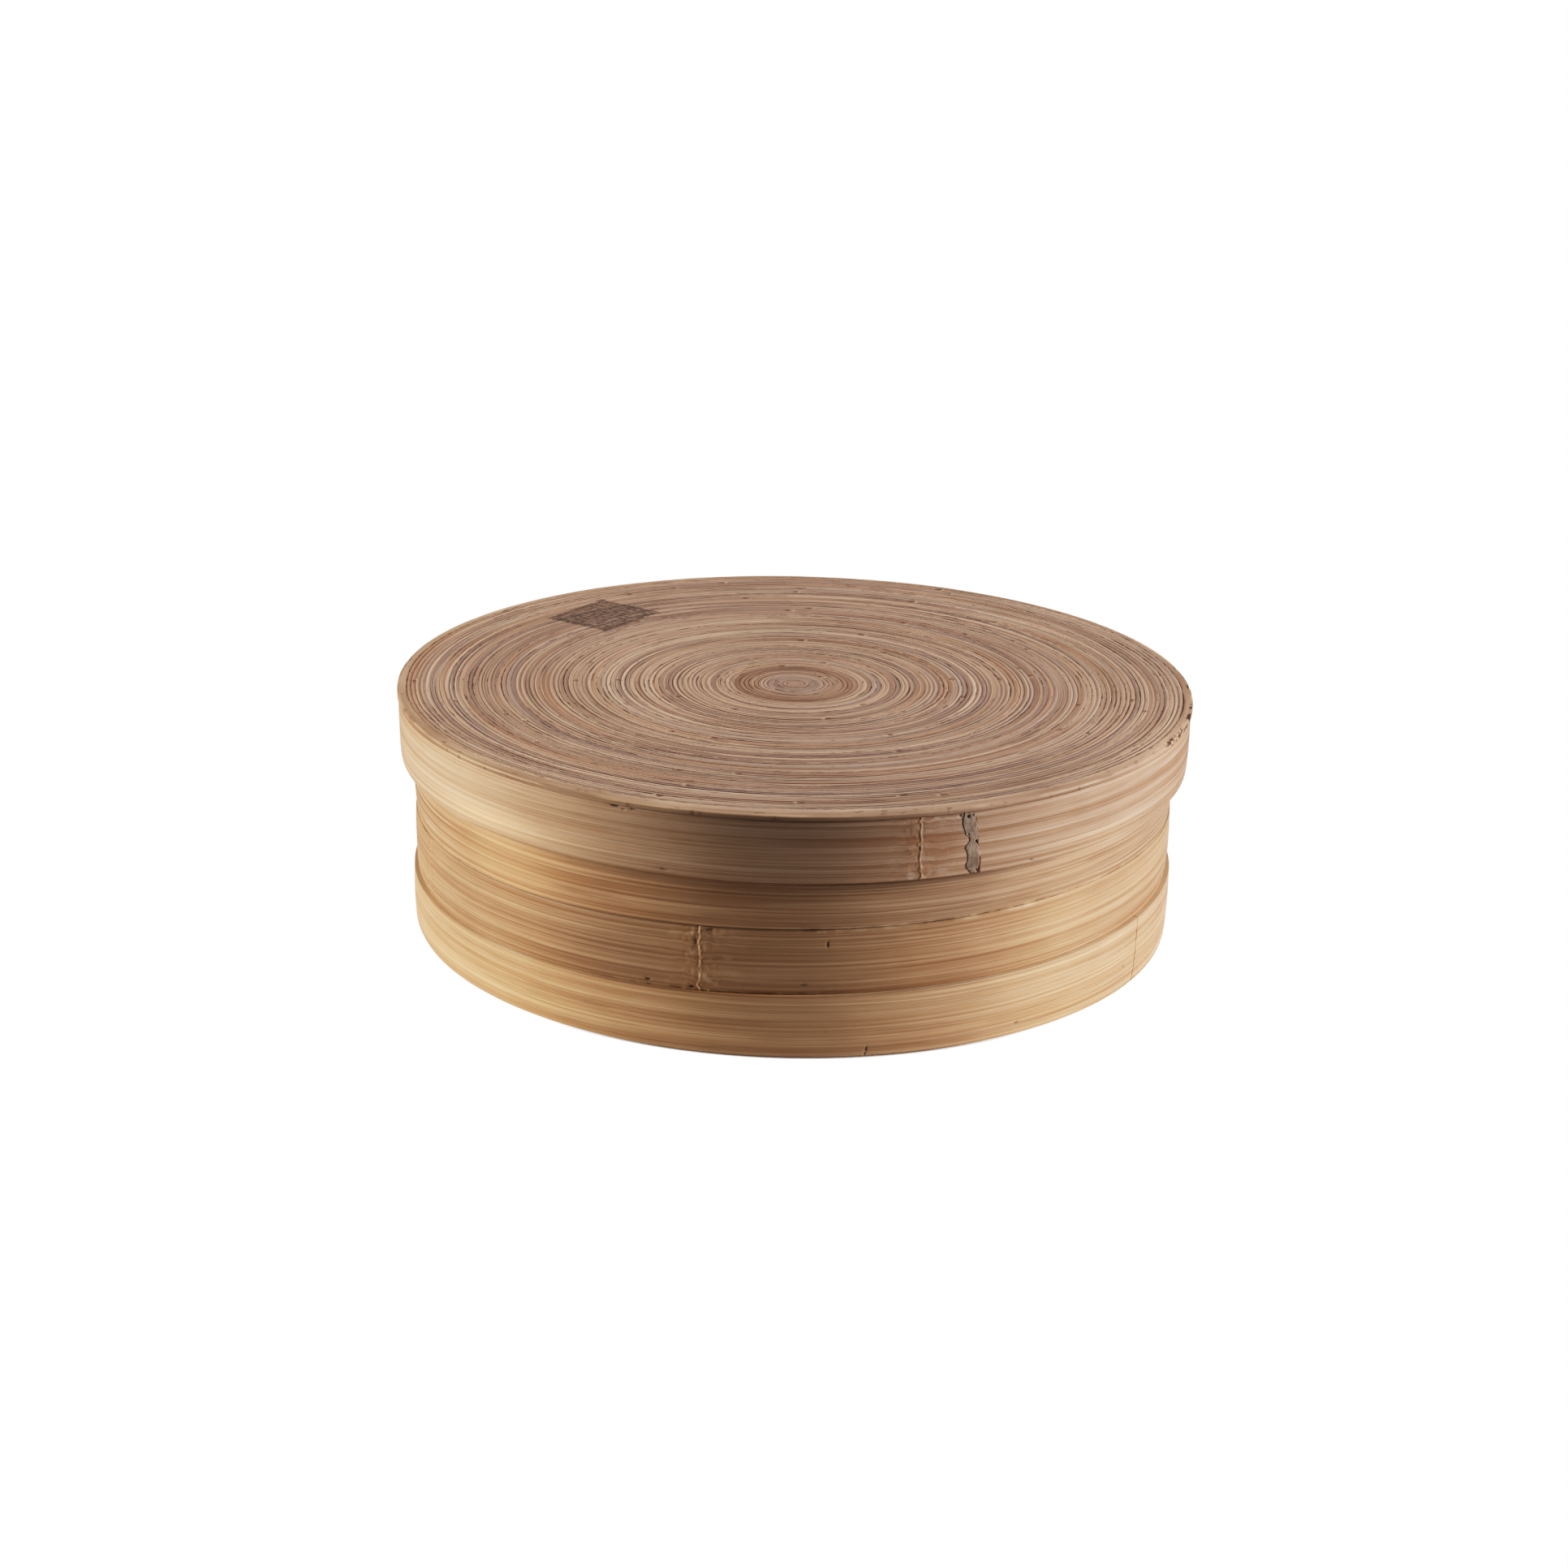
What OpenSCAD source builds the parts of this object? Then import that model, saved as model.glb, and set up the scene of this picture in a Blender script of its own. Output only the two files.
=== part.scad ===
// Bamboo steamer basket: one stacking tier with a slatted floor, and its coiled lid.
// Millimetres, +Z up, origin at the centre of the foot, front of the basket towards -Y.
// An azimuth is an angle round the basket, from the front towards +X.

/* [Basket wall] */
// Inside diameter of the basket
basket_d = 231.2; // [190:0.2:320]
// Thickness of the inner wall strip
wall_t = 2; // [1.4:0.1:3]
// Glue line between one bent ring and the next
ring_glue = 0.1; // [0.05:0.05:0.3]
// Thickness of the middle and upper hoops
hoop_t = 2.7; // [2:0.1:5]
// Thickness of the lower hoop
foot_hoop_t = 3.7; // [2.4:0.1:6]
// Height of the lower hoop
foot_hoop_h = 18.9; // [15:0.1:40]
// Height of the middle hoop
middle_hoop_h = 19.6; // [12:0.1:40]
// Height of the upper hoop
upper_hoop_h = 19.3; // [12:0.1:40]
// How far a hoop's face bulges between its edges
hoop_crown = 0.8; // [0.3:0.1:1.5]

/* [Stacking] */
// Depth of the socket in the foot that takes another basket's collar
socket_depth = 10.5; // [7:0.5:14]
// How much wider the socket is than the rest of the lower hoop's bore, all round
socket_relief = 0.2; // [0.1:0.1:0.8]
// How much the collar is shaved down, all round
collar_relief = 0.6; // [0.3:0.1:1]
// Gap left above a collar in a socket
collar_end_gap = 0.3; // [0.2:0.1:2]

/* [Floor] */
// Thickness of the ring under the floor
support_ring_t = 3.5; // [2.5:0.1:8]
// Height of the ring and of the bars under the floor
support_h = 5; // [4:0.5:8]
// Width of a cross bar
bar_w = 9; // [5:0.5:16]
// Thickness of the tongue at a bar's ends, let into the support ring and the inner wall
tongue_h = 2.5; // [1.5:0.1:3.5]
// Distance between neighbouring cross bars
bar_pitch = 55; // [35:1:60]
// Number of floor slats
slat_count = 18; // [10:1:18]
// Width of a floor slat
slat_w = 9; // [5:0.5:9.5]
// Thickness of a floor slat
slat_t = 2; // [1.5:0.1:4]
// Gap between the floor and the inner wall beside the outermost slats
slat_edge_gap = 4.8; // [3:0.1:10]
// Gap between a slat's ends and the inner wall
slat_end_gap = 0.3; // [0.2:0.1:2]
// Thickness of the ring that holds the slat ends down
retaining_ring_t = 2.3; // [1.5:0.1:5]
// Height of the ring that holds the slat ends down
retaining_ring_h = 8; // [5:0.5:15]

/* [Pins and pegs] */
// Diameter of a slat pin
pin_d = 2; // [1.5:0.1:3]
// How deep a slat pin goes into its bar
pin_depth = 3.5; // [2:0.1:4]
// Diameter of a wall peg
peg_d = 2.4; // [1.5:0.1:3]
// Number of wall pegs in each ring
peg_count = 6; // [3:1:8]
// Angle of the first wall peg from +X
peg_start = 15; // [5:1:25]

/* [Lid] */
// Gap between the lid's rim and the upper hoop
lid_gap = 0.6; // [0.4:0.1:2]
// How far the rim hangs down past the seat
lid_overlap = 3.6; // [2:0.1:10]
// Height of the rim hoops
rim_h = 18.7; // [16:0.1:40]
// Thickness of the rim's inner hoop
rim_inner_t = 1.9; // [1.4:0.1:4]
// Thickness of the rim's outer hoop
rim_outer_t = 1.7; // [1.4:0.1:4]
// Gap between the seat ring and the basket's collar
seat_gap = 1.2; // [0.6:0.1:2]
// Thickness of the coiled disc
disc_t = 2.5; // [1.5:0.1:6]
// How far the disc stands out past the rim
disc_overhang = 0.3; // [0:0.1:2]
// Width of the plain strip round the disc's edge
edge_strip_w = 2.9; // [1.5:0.1:6]
// How far the disc's edge bulges
edge_crown = 0.5; // [0.2:0.1:0.8]

/* [Coil] */
// Thickness of a coiled strip
strip_t = 1.44; // [1:0.02:3]
// Glue line between neighbouring turns of the coil
glue_line = 0.06; // [0.04:0.01:0.15]
// Least radius of the core dowel
core_min_r = 2; // [1.5:0.1:5]
// Number of strips joined end to end
strip_count = 12; // [4:1:16]

/* [Strip joints] */
// Gap in a plain butt joint
joint_gap = 0.4; // [0.2:0.1:1]
// Gap in the rim's outer hoop, closed with filler
filler_gap = 3.2; // [1:0.1:8]
// Azimuth of the inner wall's joint
wall_joint = 200; // [190:1:210]
// Azimuth of the lower hoop's joint
foot_joint = 59.7; // [0:0.1:360]
// Azimuth of the middle hoop's joint
middle_joint = 170; // [0:1:360]
// Azimuth of the upper hoop's joint
upper_joint = 255; // [0:1:360]
// Azimuth of the support ring's joint
support_joint = 120; // [115:1:125]
// Azimuth of the retaining ring's joint
retaining_joint = 300; // [295:1:305]
// Azimuth of the rim's outer joint
rim_outer_joint = 23.8; // [0:0.1:360]
// Azimuth of the rim's inner joint
rim_inner_joint = 215; // [0:1:360]
// Azimuth of the seat ring's joint
seat_joint = 95; // [0:1:360]
// Azimuth of the edge strip's joint
edge_joint = 130; // [0:1:360]

/* [Hidden] */
$fn = 180;
slack = 1;
bar_count = 3;
bar_end_gap = 0.1;
hoop_color = [0.80, 0.63, 0.42];
inner_color = [0.84, 0.70, 0.49];
slat_color = [0.86, 0.73, 0.52];
coil_color = [0.65, 0.53, 0.41];
edge_color = [0.70, 0.58, 0.43];
pin_color = [0.58, 0.42, 0.25];
filler_color = [0.53, 0.46, 0.38];

// Radii of the basket, from the inside out
wall_in_r = basket_d / 2;
wall_out_r = wall_in_r + wall_t;
hoop_in_r = wall_out_r + ring_glue;
hoop_out_r = hoop_in_r + hoop_t;
foot_out_r = hoop_in_r + foot_hoop_t;
socket_r = hoop_in_r + socket_relief;
collar_r = wall_out_r - collar_relief;
ring_out_r = wall_in_r - ring_glue;
support_in_r = ring_out_r - support_ring_t;
retaining_in_r = ring_out_r - retaining_ring_t;
slat_end_r = wall_in_r - slat_end_gap;
bar_in_r = support_in_r - bar_end_gap;
bar_end_r = wall_out_r - bar_end_gap;

// Heights of the basket, from the foot up
foot_top = foot_hoop_h;
middle_top = foot_top + middle_hoop_h;
wall_top = middle_top + upper_hoop_h;
collar_top = wall_top + socket_depth - collar_end_gap;
floor_z = socket_depth + support_h;
tongue_z = floor_z - tongue_h;
slat_top = floor_z + slat_t;
retaining_top = slat_top + retaining_ring_h;

// Floor layout
slat_reach = wall_in_r - slat_edge_gap;
slat_pitch = (2 * slat_reach - slat_w) / (slat_count - 1);

// Radii and heights of the lid
rim_in_r = hoop_out_r + lid_gap;
rim_mid_r = rim_in_r + rim_inner_t;
rim_outer_in_r = rim_mid_r + ring_glue;
rim_out_r = rim_outer_in_r + rim_outer_t;
disc_r = rim_out_r + disc_overhang;
seat_in_r = collar_r + seat_gap;
seat_out_r = rim_in_r - ring_glue;
rim_bottom = wall_top - lid_overlap;
rim_top = rim_bottom + rim_h;
disc_top = rim_top + disc_t;
filler_angle = filler_gap / rim_out_r * 180 / PI;

// The coil is a spiral of half rings: far ones centred on the axis, near ones half a pitch to the side
coil_pitch = strip_t + glue_line;
coil_out_r = disc_r - edge_strip_w - glue_line;
whole_turns = floor((coil_out_r - strip_t - glue_line - core_min_r) / coil_pitch);
coil_in_r = coil_out_r - strip_t - whole_turns * coil_pitch;
core_r = coil_in_r - glue_line;
half_turns = 2 * whole_turns + 3;

function bar_x(i) = (i - (bar_count + 1) / 2) * bar_pitch;
function slat_y(i) = (i - (slat_count + 1) / 2) * slat_pitch;
function pin_fits(b, s) = norm([bar_x(b), slat_y(s)]) + pin_d < min(support_in_r, retaining_in_r);
// First half turn of a strip: each strip has about the same length, so the outer ones have fewer turns
function strip_start(i) = round(half_turns * sqrt((i - 1) / strip_count));

// A profile turned into a ring, open for a joint of the given gap at an azimuth
module bent_strip(joint, gap, r) {
    opening = gap / r * 180 / PI;
    rotate([0, 0, joint - 90 + opening / 2])
        rotate_extrude(angle = 360 - opening)
            children();
}

// Cross-section of a flat strip
module flat_profile(in_r, out_r, low, high) {
    translate([in_r, low])
        square([out_r - in_r, high - low]);
}

// Cross-section of a strip whose outer face bulges
module crowned_profile(in_r, out_r, low, high, crown) {
    bulge_r = (pow((high - low) / 2, 2) + pow(crown, 2)) / (2 * crown);
    intersection() {
        flat_profile(in_r, out_r + slack, low, high);
        translate([out_r - bulge_r, (low + high) / 2])
            circle(r = bulge_r);
    }
}

// Slots that the tongues of the cross bars lie in, the given height up from their lower face
module tongue_slots(height) {
    for (i = [1 : bar_count])
        translate([bar_x(i) - bar_w / 2, -foot_out_r, tongue_z])
            cube([bar_w, 2 * foot_out_r, height]);
}

// A stretch of a cross bar between two heights, cut round at its ends
module bar_layer(i, reach, low, high) {
    intersection() {
        translate([bar_x(i) - bar_w / 2, -reach - slack, low])
            cube([bar_w, 2 * (reach + slack), high - low]);
        translate([0, 0, low - slack])
            cylinder(r = reach, h = high - low + 2 * slack);
    }
}

// Pins at the places where the slats cross the bars, or only those of one bar or one slat
module pin_set(bars = [1 : bar_count], slats = [1 : slat_count], extra = 0) {
    for (b = bars, s = slats)
        if (pin_fits(b, s))
            translate([bar_x(b), slat_y(s), floor_z - pin_depth])
                cylinder(d = pin_d, h = pin_depth + slat_t + extra, $fn = 32);
}

// Pegs that point outwards at one height
module peg_ring(height, from_r, to_r) {
    for (i = [0 : peg_count - 1])
        rotate([0, 0, peg_start + i * 360 / peg_count])
            translate([from_r, 0, height])
                rotate([0, 90, 0])
                    cylinder(d = peg_d, h = to_r - from_r, $fn = 32);
}

module support_pegs(from_r, to_r) peg_ring(socket_depth + support_h / 2, from_r, to_r);
module retaining_pegs(from_r, to_r) peg_ring(slat_top + retaining_ring_h / 2, from_r, to_r);

module inner_wall() {
    color(inner_color)
        difference() {
            bent_strip(wall_joint, joint_gap, wall_out_r) {
                flat_profile(wall_in_r, wall_out_r, socket_depth, wall_top);
                flat_profile(wall_in_r, collar_r, wall_top, collar_top);
            }
            tongue_slots(tongue_h);
            support_pegs(support_in_r, foot_out_r);
            retaining_pegs(support_in_r, foot_out_r);
        }
}

module lower_hoop() {
    color(hoop_color)
        bent_strip(foot_joint, joint_gap, foot_out_r)
            difference() {
                crowned_profile(hoop_in_r, foot_out_r, 0, foot_top, hoop_crown);
                flat_profile(hoop_in_r - slack, socket_r, -slack, socket_depth);
            }
}

module middle_hoop() {
    color(hoop_color)
        bent_strip(middle_joint, joint_gap, hoop_out_r)
            crowned_profile(hoop_in_r, hoop_out_r, foot_top, middle_top, hoop_crown);
}

module upper_hoop() {
    color(hoop_color)
        bent_strip(upper_joint, joint_gap, hoop_out_r)
            crowned_profile(hoop_in_r, hoop_out_r, middle_top, wall_top, hoop_crown);
}

module floor_support_ring() {
    color(inner_color)
        difference() {
            bent_strip(support_joint, joint_gap, ring_out_r)
                flat_profile(support_in_r, ring_out_r, socket_depth, floor_z);
            tongue_slots(tongue_h + slack);
            support_pegs(support_in_r - slack, foot_out_r);
        }
}

module retaining_ring() {
    color(inner_color)
        difference() {
            bent_strip(retaining_joint, joint_gap, ring_out_r)
                flat_profile(retaining_in_r, ring_out_r, slat_top, retaining_top);
            retaining_pegs(retaining_in_r - slack, foot_out_r);
        }
}

module cross_bar(i) {
    color(inner_color)
        difference() {
            union() {
                bar_layer(i, bar_in_r, socket_depth, tongue_z);
                bar_layer(i, bar_end_r, tongue_z, floor_z);
            }
            pin_set(bars = [i], extra = slack);
        }
}

module floor_slat(i) {
    color(slat_color)
        difference() {
            intersection() {
                translate([-wall_in_r, slat_y(i) - slat_w / 2, floor_z])
                    cube([2 * wall_in_r, slat_w, slat_t]);
                cylinder(r = slat_end_r, h = slat_top + slack);
            }
            pin_set(slats = [i], extra = slack);
        }
}

module slat_pins() {
    color(pin_color)
        pin_set();
}

module wall_pegs() {
    color(pin_color) {
        support_pegs(support_in_r, bar_end_r);
        retaining_pegs(retaining_in_r, bar_end_r);
    }
}

module lid_core() {
    color(coil_color)
        translate([0, 0, rim_top])
            cylinder(r = core_r, h = disc_t);
}

// One half turn of the coil; an odd number is a far one
module half_turn(n) {
    far = n % 2 == 1;
    r = coil_in_r + floor((n - 1) / 2) * coil_pitch + (far ? 0 : coil_pitch / 2);
    translate([far ? 0 : coil_pitch / 2, 0, 0])
        rotate([0, 0, far ? 0 : 180])
            rotate_extrude(angle = 180)
                flat_profile(r, r + strip_t, rim_top, disc_top);
}

module lid_coil(i) {
    color(coil_color)
        for (n = [strip_start(i) : strip_start(i + 1) - 1])
            if (n == 0)
                // The first strip starts as a taper round the core
                difference() {
                    half_turn(n);
                    translate([0, 0, rim_top - slack])
                        cylinder(r = coil_in_r - glue_line / 2, h = disc_t + 2 * slack);
                }
            else if (n == half_turns - 1)
                // The last strip ends as a taper under the edge strip
                intersection() {
                    half_turn(n);
                    translate([0, 0, rim_top - slack])
                        cylinder(r = coil_out_r - glue_line / 2, h = disc_t + 2 * slack);
                }
            else
                half_turn(n);
}

module lid_edge_strip() {
    color(edge_color)
        bent_strip(edge_joint, joint_gap, disc_r)
            crowned_profile(disc_r - edge_strip_w, disc_r, rim_top, disc_top, edge_crown);
}

module rim_outer_profile() crowned_profile(rim_outer_in_r, rim_out_r, rim_bottom, rim_top, hoop_crown);

module lid_outer_hoop() {
    color(hoop_color)
        bent_strip(rim_outer_joint, filler_gap, rim_out_r)
            rim_outer_profile();
}

module lid_joint_filler() {
    color(filler_color)
        rotate([0, 0, rim_outer_joint - 90 - filler_angle / 2])
            rotate_extrude(angle = filler_angle)
                rim_outer_profile();
}

module lid_inner_hoop() {
    color(inner_color)
        bent_strip(rim_inner_joint, joint_gap, rim_mid_r)
            flat_profile(rim_in_r, rim_mid_r, rim_bottom, rim_top);
}

module lid_seat_ring() {
    color(inner_color)
        bent_strip(seat_joint, joint_gap, seat_out_r)
            flat_profile(seat_in_r, seat_out_r, wall_top, rim_top);
}

inner_wall();
lower_hoop();
middle_hoop();
upper_hoop();
floor_support_ring();
retaining_ring();
for (i = [1 : bar_count]) cross_bar(i);
for (i = [1 : slat_count]) floor_slat(i);
slat_pins();
wall_pegs();
lid_core();
for (i = [1 : strip_count]) lid_coil(i);
lid_edge_strip();
lid_outer_hoop();
lid_joint_filler();
lid_inner_hoop();
lid_seat_ring();
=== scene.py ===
import math

import bmesh
import bpy
import numpy as np
from mathutils import Matrix, Vector


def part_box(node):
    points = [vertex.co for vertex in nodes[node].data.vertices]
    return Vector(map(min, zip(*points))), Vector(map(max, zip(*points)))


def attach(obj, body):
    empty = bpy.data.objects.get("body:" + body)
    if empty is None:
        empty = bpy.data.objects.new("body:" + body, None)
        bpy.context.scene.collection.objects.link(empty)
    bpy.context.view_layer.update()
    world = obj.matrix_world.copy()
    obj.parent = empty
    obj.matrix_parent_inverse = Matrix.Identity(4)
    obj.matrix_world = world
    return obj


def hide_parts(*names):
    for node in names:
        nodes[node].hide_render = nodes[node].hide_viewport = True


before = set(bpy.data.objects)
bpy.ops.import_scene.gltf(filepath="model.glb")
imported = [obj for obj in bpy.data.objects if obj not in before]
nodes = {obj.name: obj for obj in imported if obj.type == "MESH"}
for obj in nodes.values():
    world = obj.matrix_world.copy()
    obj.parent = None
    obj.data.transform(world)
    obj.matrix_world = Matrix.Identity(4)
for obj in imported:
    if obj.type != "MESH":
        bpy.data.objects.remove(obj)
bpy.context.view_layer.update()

mm = 0.001
scene = bpy.context.scene


class Wire:
    # A node's output that can be used in sums, with numbers on either side
    def __init__(self, bench, socket):
        self.bench, self.socket = bench, socket

    def math(self, kind, *values):
        return self.bench.node("ShaderNodeMath", {"operation": kind}, values)

    def other(self, name):
        return Wire(self.bench, self.socket.node.outputs[name])

    def __add__(self, value): return self.math("ADD", self, value)
    def __radd__(self, value): return self.math("ADD", value, self)
    def __sub__(self, value): return self.math("SUBTRACT", self, value)
    def __rsub__(self, value): return self.math("SUBTRACT", value, self)
    def __mul__(self, value): return self.math("MULTIPLY", self, value)
    def __rmul__(self, value): return self.math("MULTIPLY", value, self)
    def __truediv__(self, value): return self.math("DIVIDE", self, value)
    def __pow__(self, value): return self.math("POWER", self, value)
    def __abs__(self): return self.math("ABSOLUTE", self)
    def __gt__(self, value): return self.math("GREATER_THAN", self, value)
    def __lt__(self, value): return self.math("LESS_THAN", self, value)


class Bench:
    # One node tree and the few ways it is added to
    def __init__(self, tree):
        self.tree = tree
        tree.nodes.clear()

    def node(self, kind, settings=None, values=(), out=0):
        made = self.tree.nodes.new(kind)
        for key, value in (settings or {}).items():
            if key == "stops":
                ramp = made.color_ramp
                while len(ramp.elements) < len(value):
                    ramp.elements.new(0.5)
                for stop, (place, colour) in zip(ramp.elements, value):
                    stop.position, stop.color = place, (*colour, 1)
            else:
                setattr(made, key, value)
        for key, value in (values.items() if isinstance(values, dict) else enumerate(values)):
            if isinstance(value, Wire):
                self.tree.links.new(value.socket, made.inputs[key])
            elif value is not None:
                made.inputs[key].default_value = value
        return Wire(self, made.outputs[out])

    def point(self, x, y, z):
        return self.node("ShaderNodeCombineXYZ", None, [x, y, z])

    def split(self, vector):
        first = self.node("ShaderNodeSeparateXYZ", None, [vector])
        return first, first.other("Y"), first.other("Z")

    def noise(self, vector, scale=1.0, detail=2.0, rough=0.5):
        return self.node("ShaderNodeTexNoise", None,
                         {"Vector": vector, "Scale": scale, "Detail": detail, "Roughness": rough})

    def smooth(self, value, low, high, start=0.0, end=1.0):
        return self.node("ShaderNodeMapRange", {"interpolation_type": "SMOOTHSTEP"},
                         [value, low, high, start, end])

    def mix(self, share, first, second, blend="MIX"):
        colours = [c if isinstance(c, Wire) else (*c, 1) for c in (first, second)]
        return self.node("ShaderNodeMix", {"data_type": "RGBA", "blend_type": blend, "clamp_factor": True},
                         {0: share, 6: colours[0], 7: colours[1]}, out=2)

    def attribute(self, name):
        return self.node("ShaderNodeAttribute", {"attribute_name": name}, (), out="Fac")


def startFinish(name):
    material = bpy.data.materials.new(name)
    material.use_nodes = True
    return material, Bench(material.node_tree)


def endFinish(bench, colour, roughness, height=None, relief=0.1, reach=0.0004, gloss=0.5, coat=0.0, coatRough=0.3):
    normal = None
    if height is not None:
        normal = bench.node("ShaderNodeBump", None, {"Strength": relief, "Distance": reach, "Height": height})
    shader = bench.node("ShaderNodeBsdfPrincipled", None, {
        "Base Color": colour, "Roughness": roughness, "Specular IOR Level": gloss,
        "Coat Weight": coat, "Coat Roughness": coatRough, "Normal": normal})
    end = bench.tree.nodes.new("ShaderNodeOutputMaterial")
    bench.tree.links.new(shader.socket, end.inputs["Surface"])


print("camera")
shot = {
    "place": (0.0, -794.415, 320.098),  # mm, in front of the basket and above it
    "focus": 3229.2, "width": 1932,     # focal length and image width in the same unit
    "roll": 1.233, "tilt": -2.487, "pan": 0.196,
}


def placeCamera():
    eye = np.array(shot["place"])
    forward = -eye / np.linalg.norm(eye)
    right = np.cross(forward, (0, 0, 1))
    right /= np.linalg.norm(right)
    up = np.cross(right, forward)
    roll, tilt, pan = (math.radians(shot[key]) for key in ("roll", "tilt", "pan"))
    turnRoll = np.array([[math.cos(roll), -math.sin(roll), 0], [math.sin(roll), math.cos(roll), 0], [0, 0, 1]])
    turnTilt = np.array([[1, 0, 0], [0, math.cos(tilt), -math.sin(tilt)], [0, math.sin(tilt), math.cos(tilt)]])
    turnPan = np.array([[math.cos(pan), 0, math.sin(pan)], [0, 1, 0], [-math.sin(pan), 0, math.cos(pan)]])
    rows = turnRoll @ turnTilt @ turnPan @ np.array([right, -up, forward])
    data = bpy.data.cameras.new("shot")
    data.sensor_width = 36
    data.lens = shot["focus"] * data.sensor_width / shot["width"]
    camera = bpy.data.objects.new("shot", data)
    scene.collection.objects.link(camera)
    axes = np.array([rows[0], -rows[1], -rows[2]]).T
    camera.matrix_world = Matrix.Translation(Vector(eye * mm)) @ Matrix(axes.tolist()).to_4x4()
    scene.camera = camera


placeCamera()

print("finishes")
# The last of these marks is painted highlight and painted shade, partly the hoops' own lighter and darker tone
markNames = ("ridge", "knot", "pale", "dark", "warm", "pit", "lift")  # what the hoops' meshes tell their finish
hoopTones = {  # linear colours of the bent strips, how strong the streaks are, and their lean
    "lidBamboo": {"dark": (0.407, 0.254, 0.148), "light": (0.698, 0.534, 0.401),
        "pale": (0.834, 0.747, 0.637), "line": (0.272, 0.150, 0.082),
        "streak": 0.72, "shift": 0.0, "tilt": 0.0},
    "upperBamboo": {"dark": (0.390, 0.224, 0.116), "light": (0.670, 0.480, 0.313),
        "pale": (0.820, 0.679, 0.505), "line": (0.250, 0.131, 0.064),
        "streak": 1.0, "shift": 3.1, "tilt": 0.008},
    "middleBamboo": {"dark": (0.374, 0.211, 0.106), "light": (0.655, 0.465, 0.291),
        "pale": (0.811, 0.660, 0.470), "line": (0.229, 0.119, 0.056),
        "streak": 0.72, "shift": 7.7, "tilt": 0.0157},
    "footBamboo": {"dark": (0.439, 0.265, 0.140), "light": (0.724, 0.535, 0.347),
        "pale": (0.847, 0.721, 0.549), "line": (0.306, 0.164, 0.078),
        "streak": 0.85, "shift": 12.4, "tilt": 0.008},
    "innerBamboo": {"dark": (0.50, 0.31, 0.145), "light": (0.80, 0.60, 0.37),
        "pale": (0.88, 0.73, 0.52), "line": (0.34, 0.19, 0.085),
        "streak": 0.8, "shift": 19.0, "tilt": 0.0},
}


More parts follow.
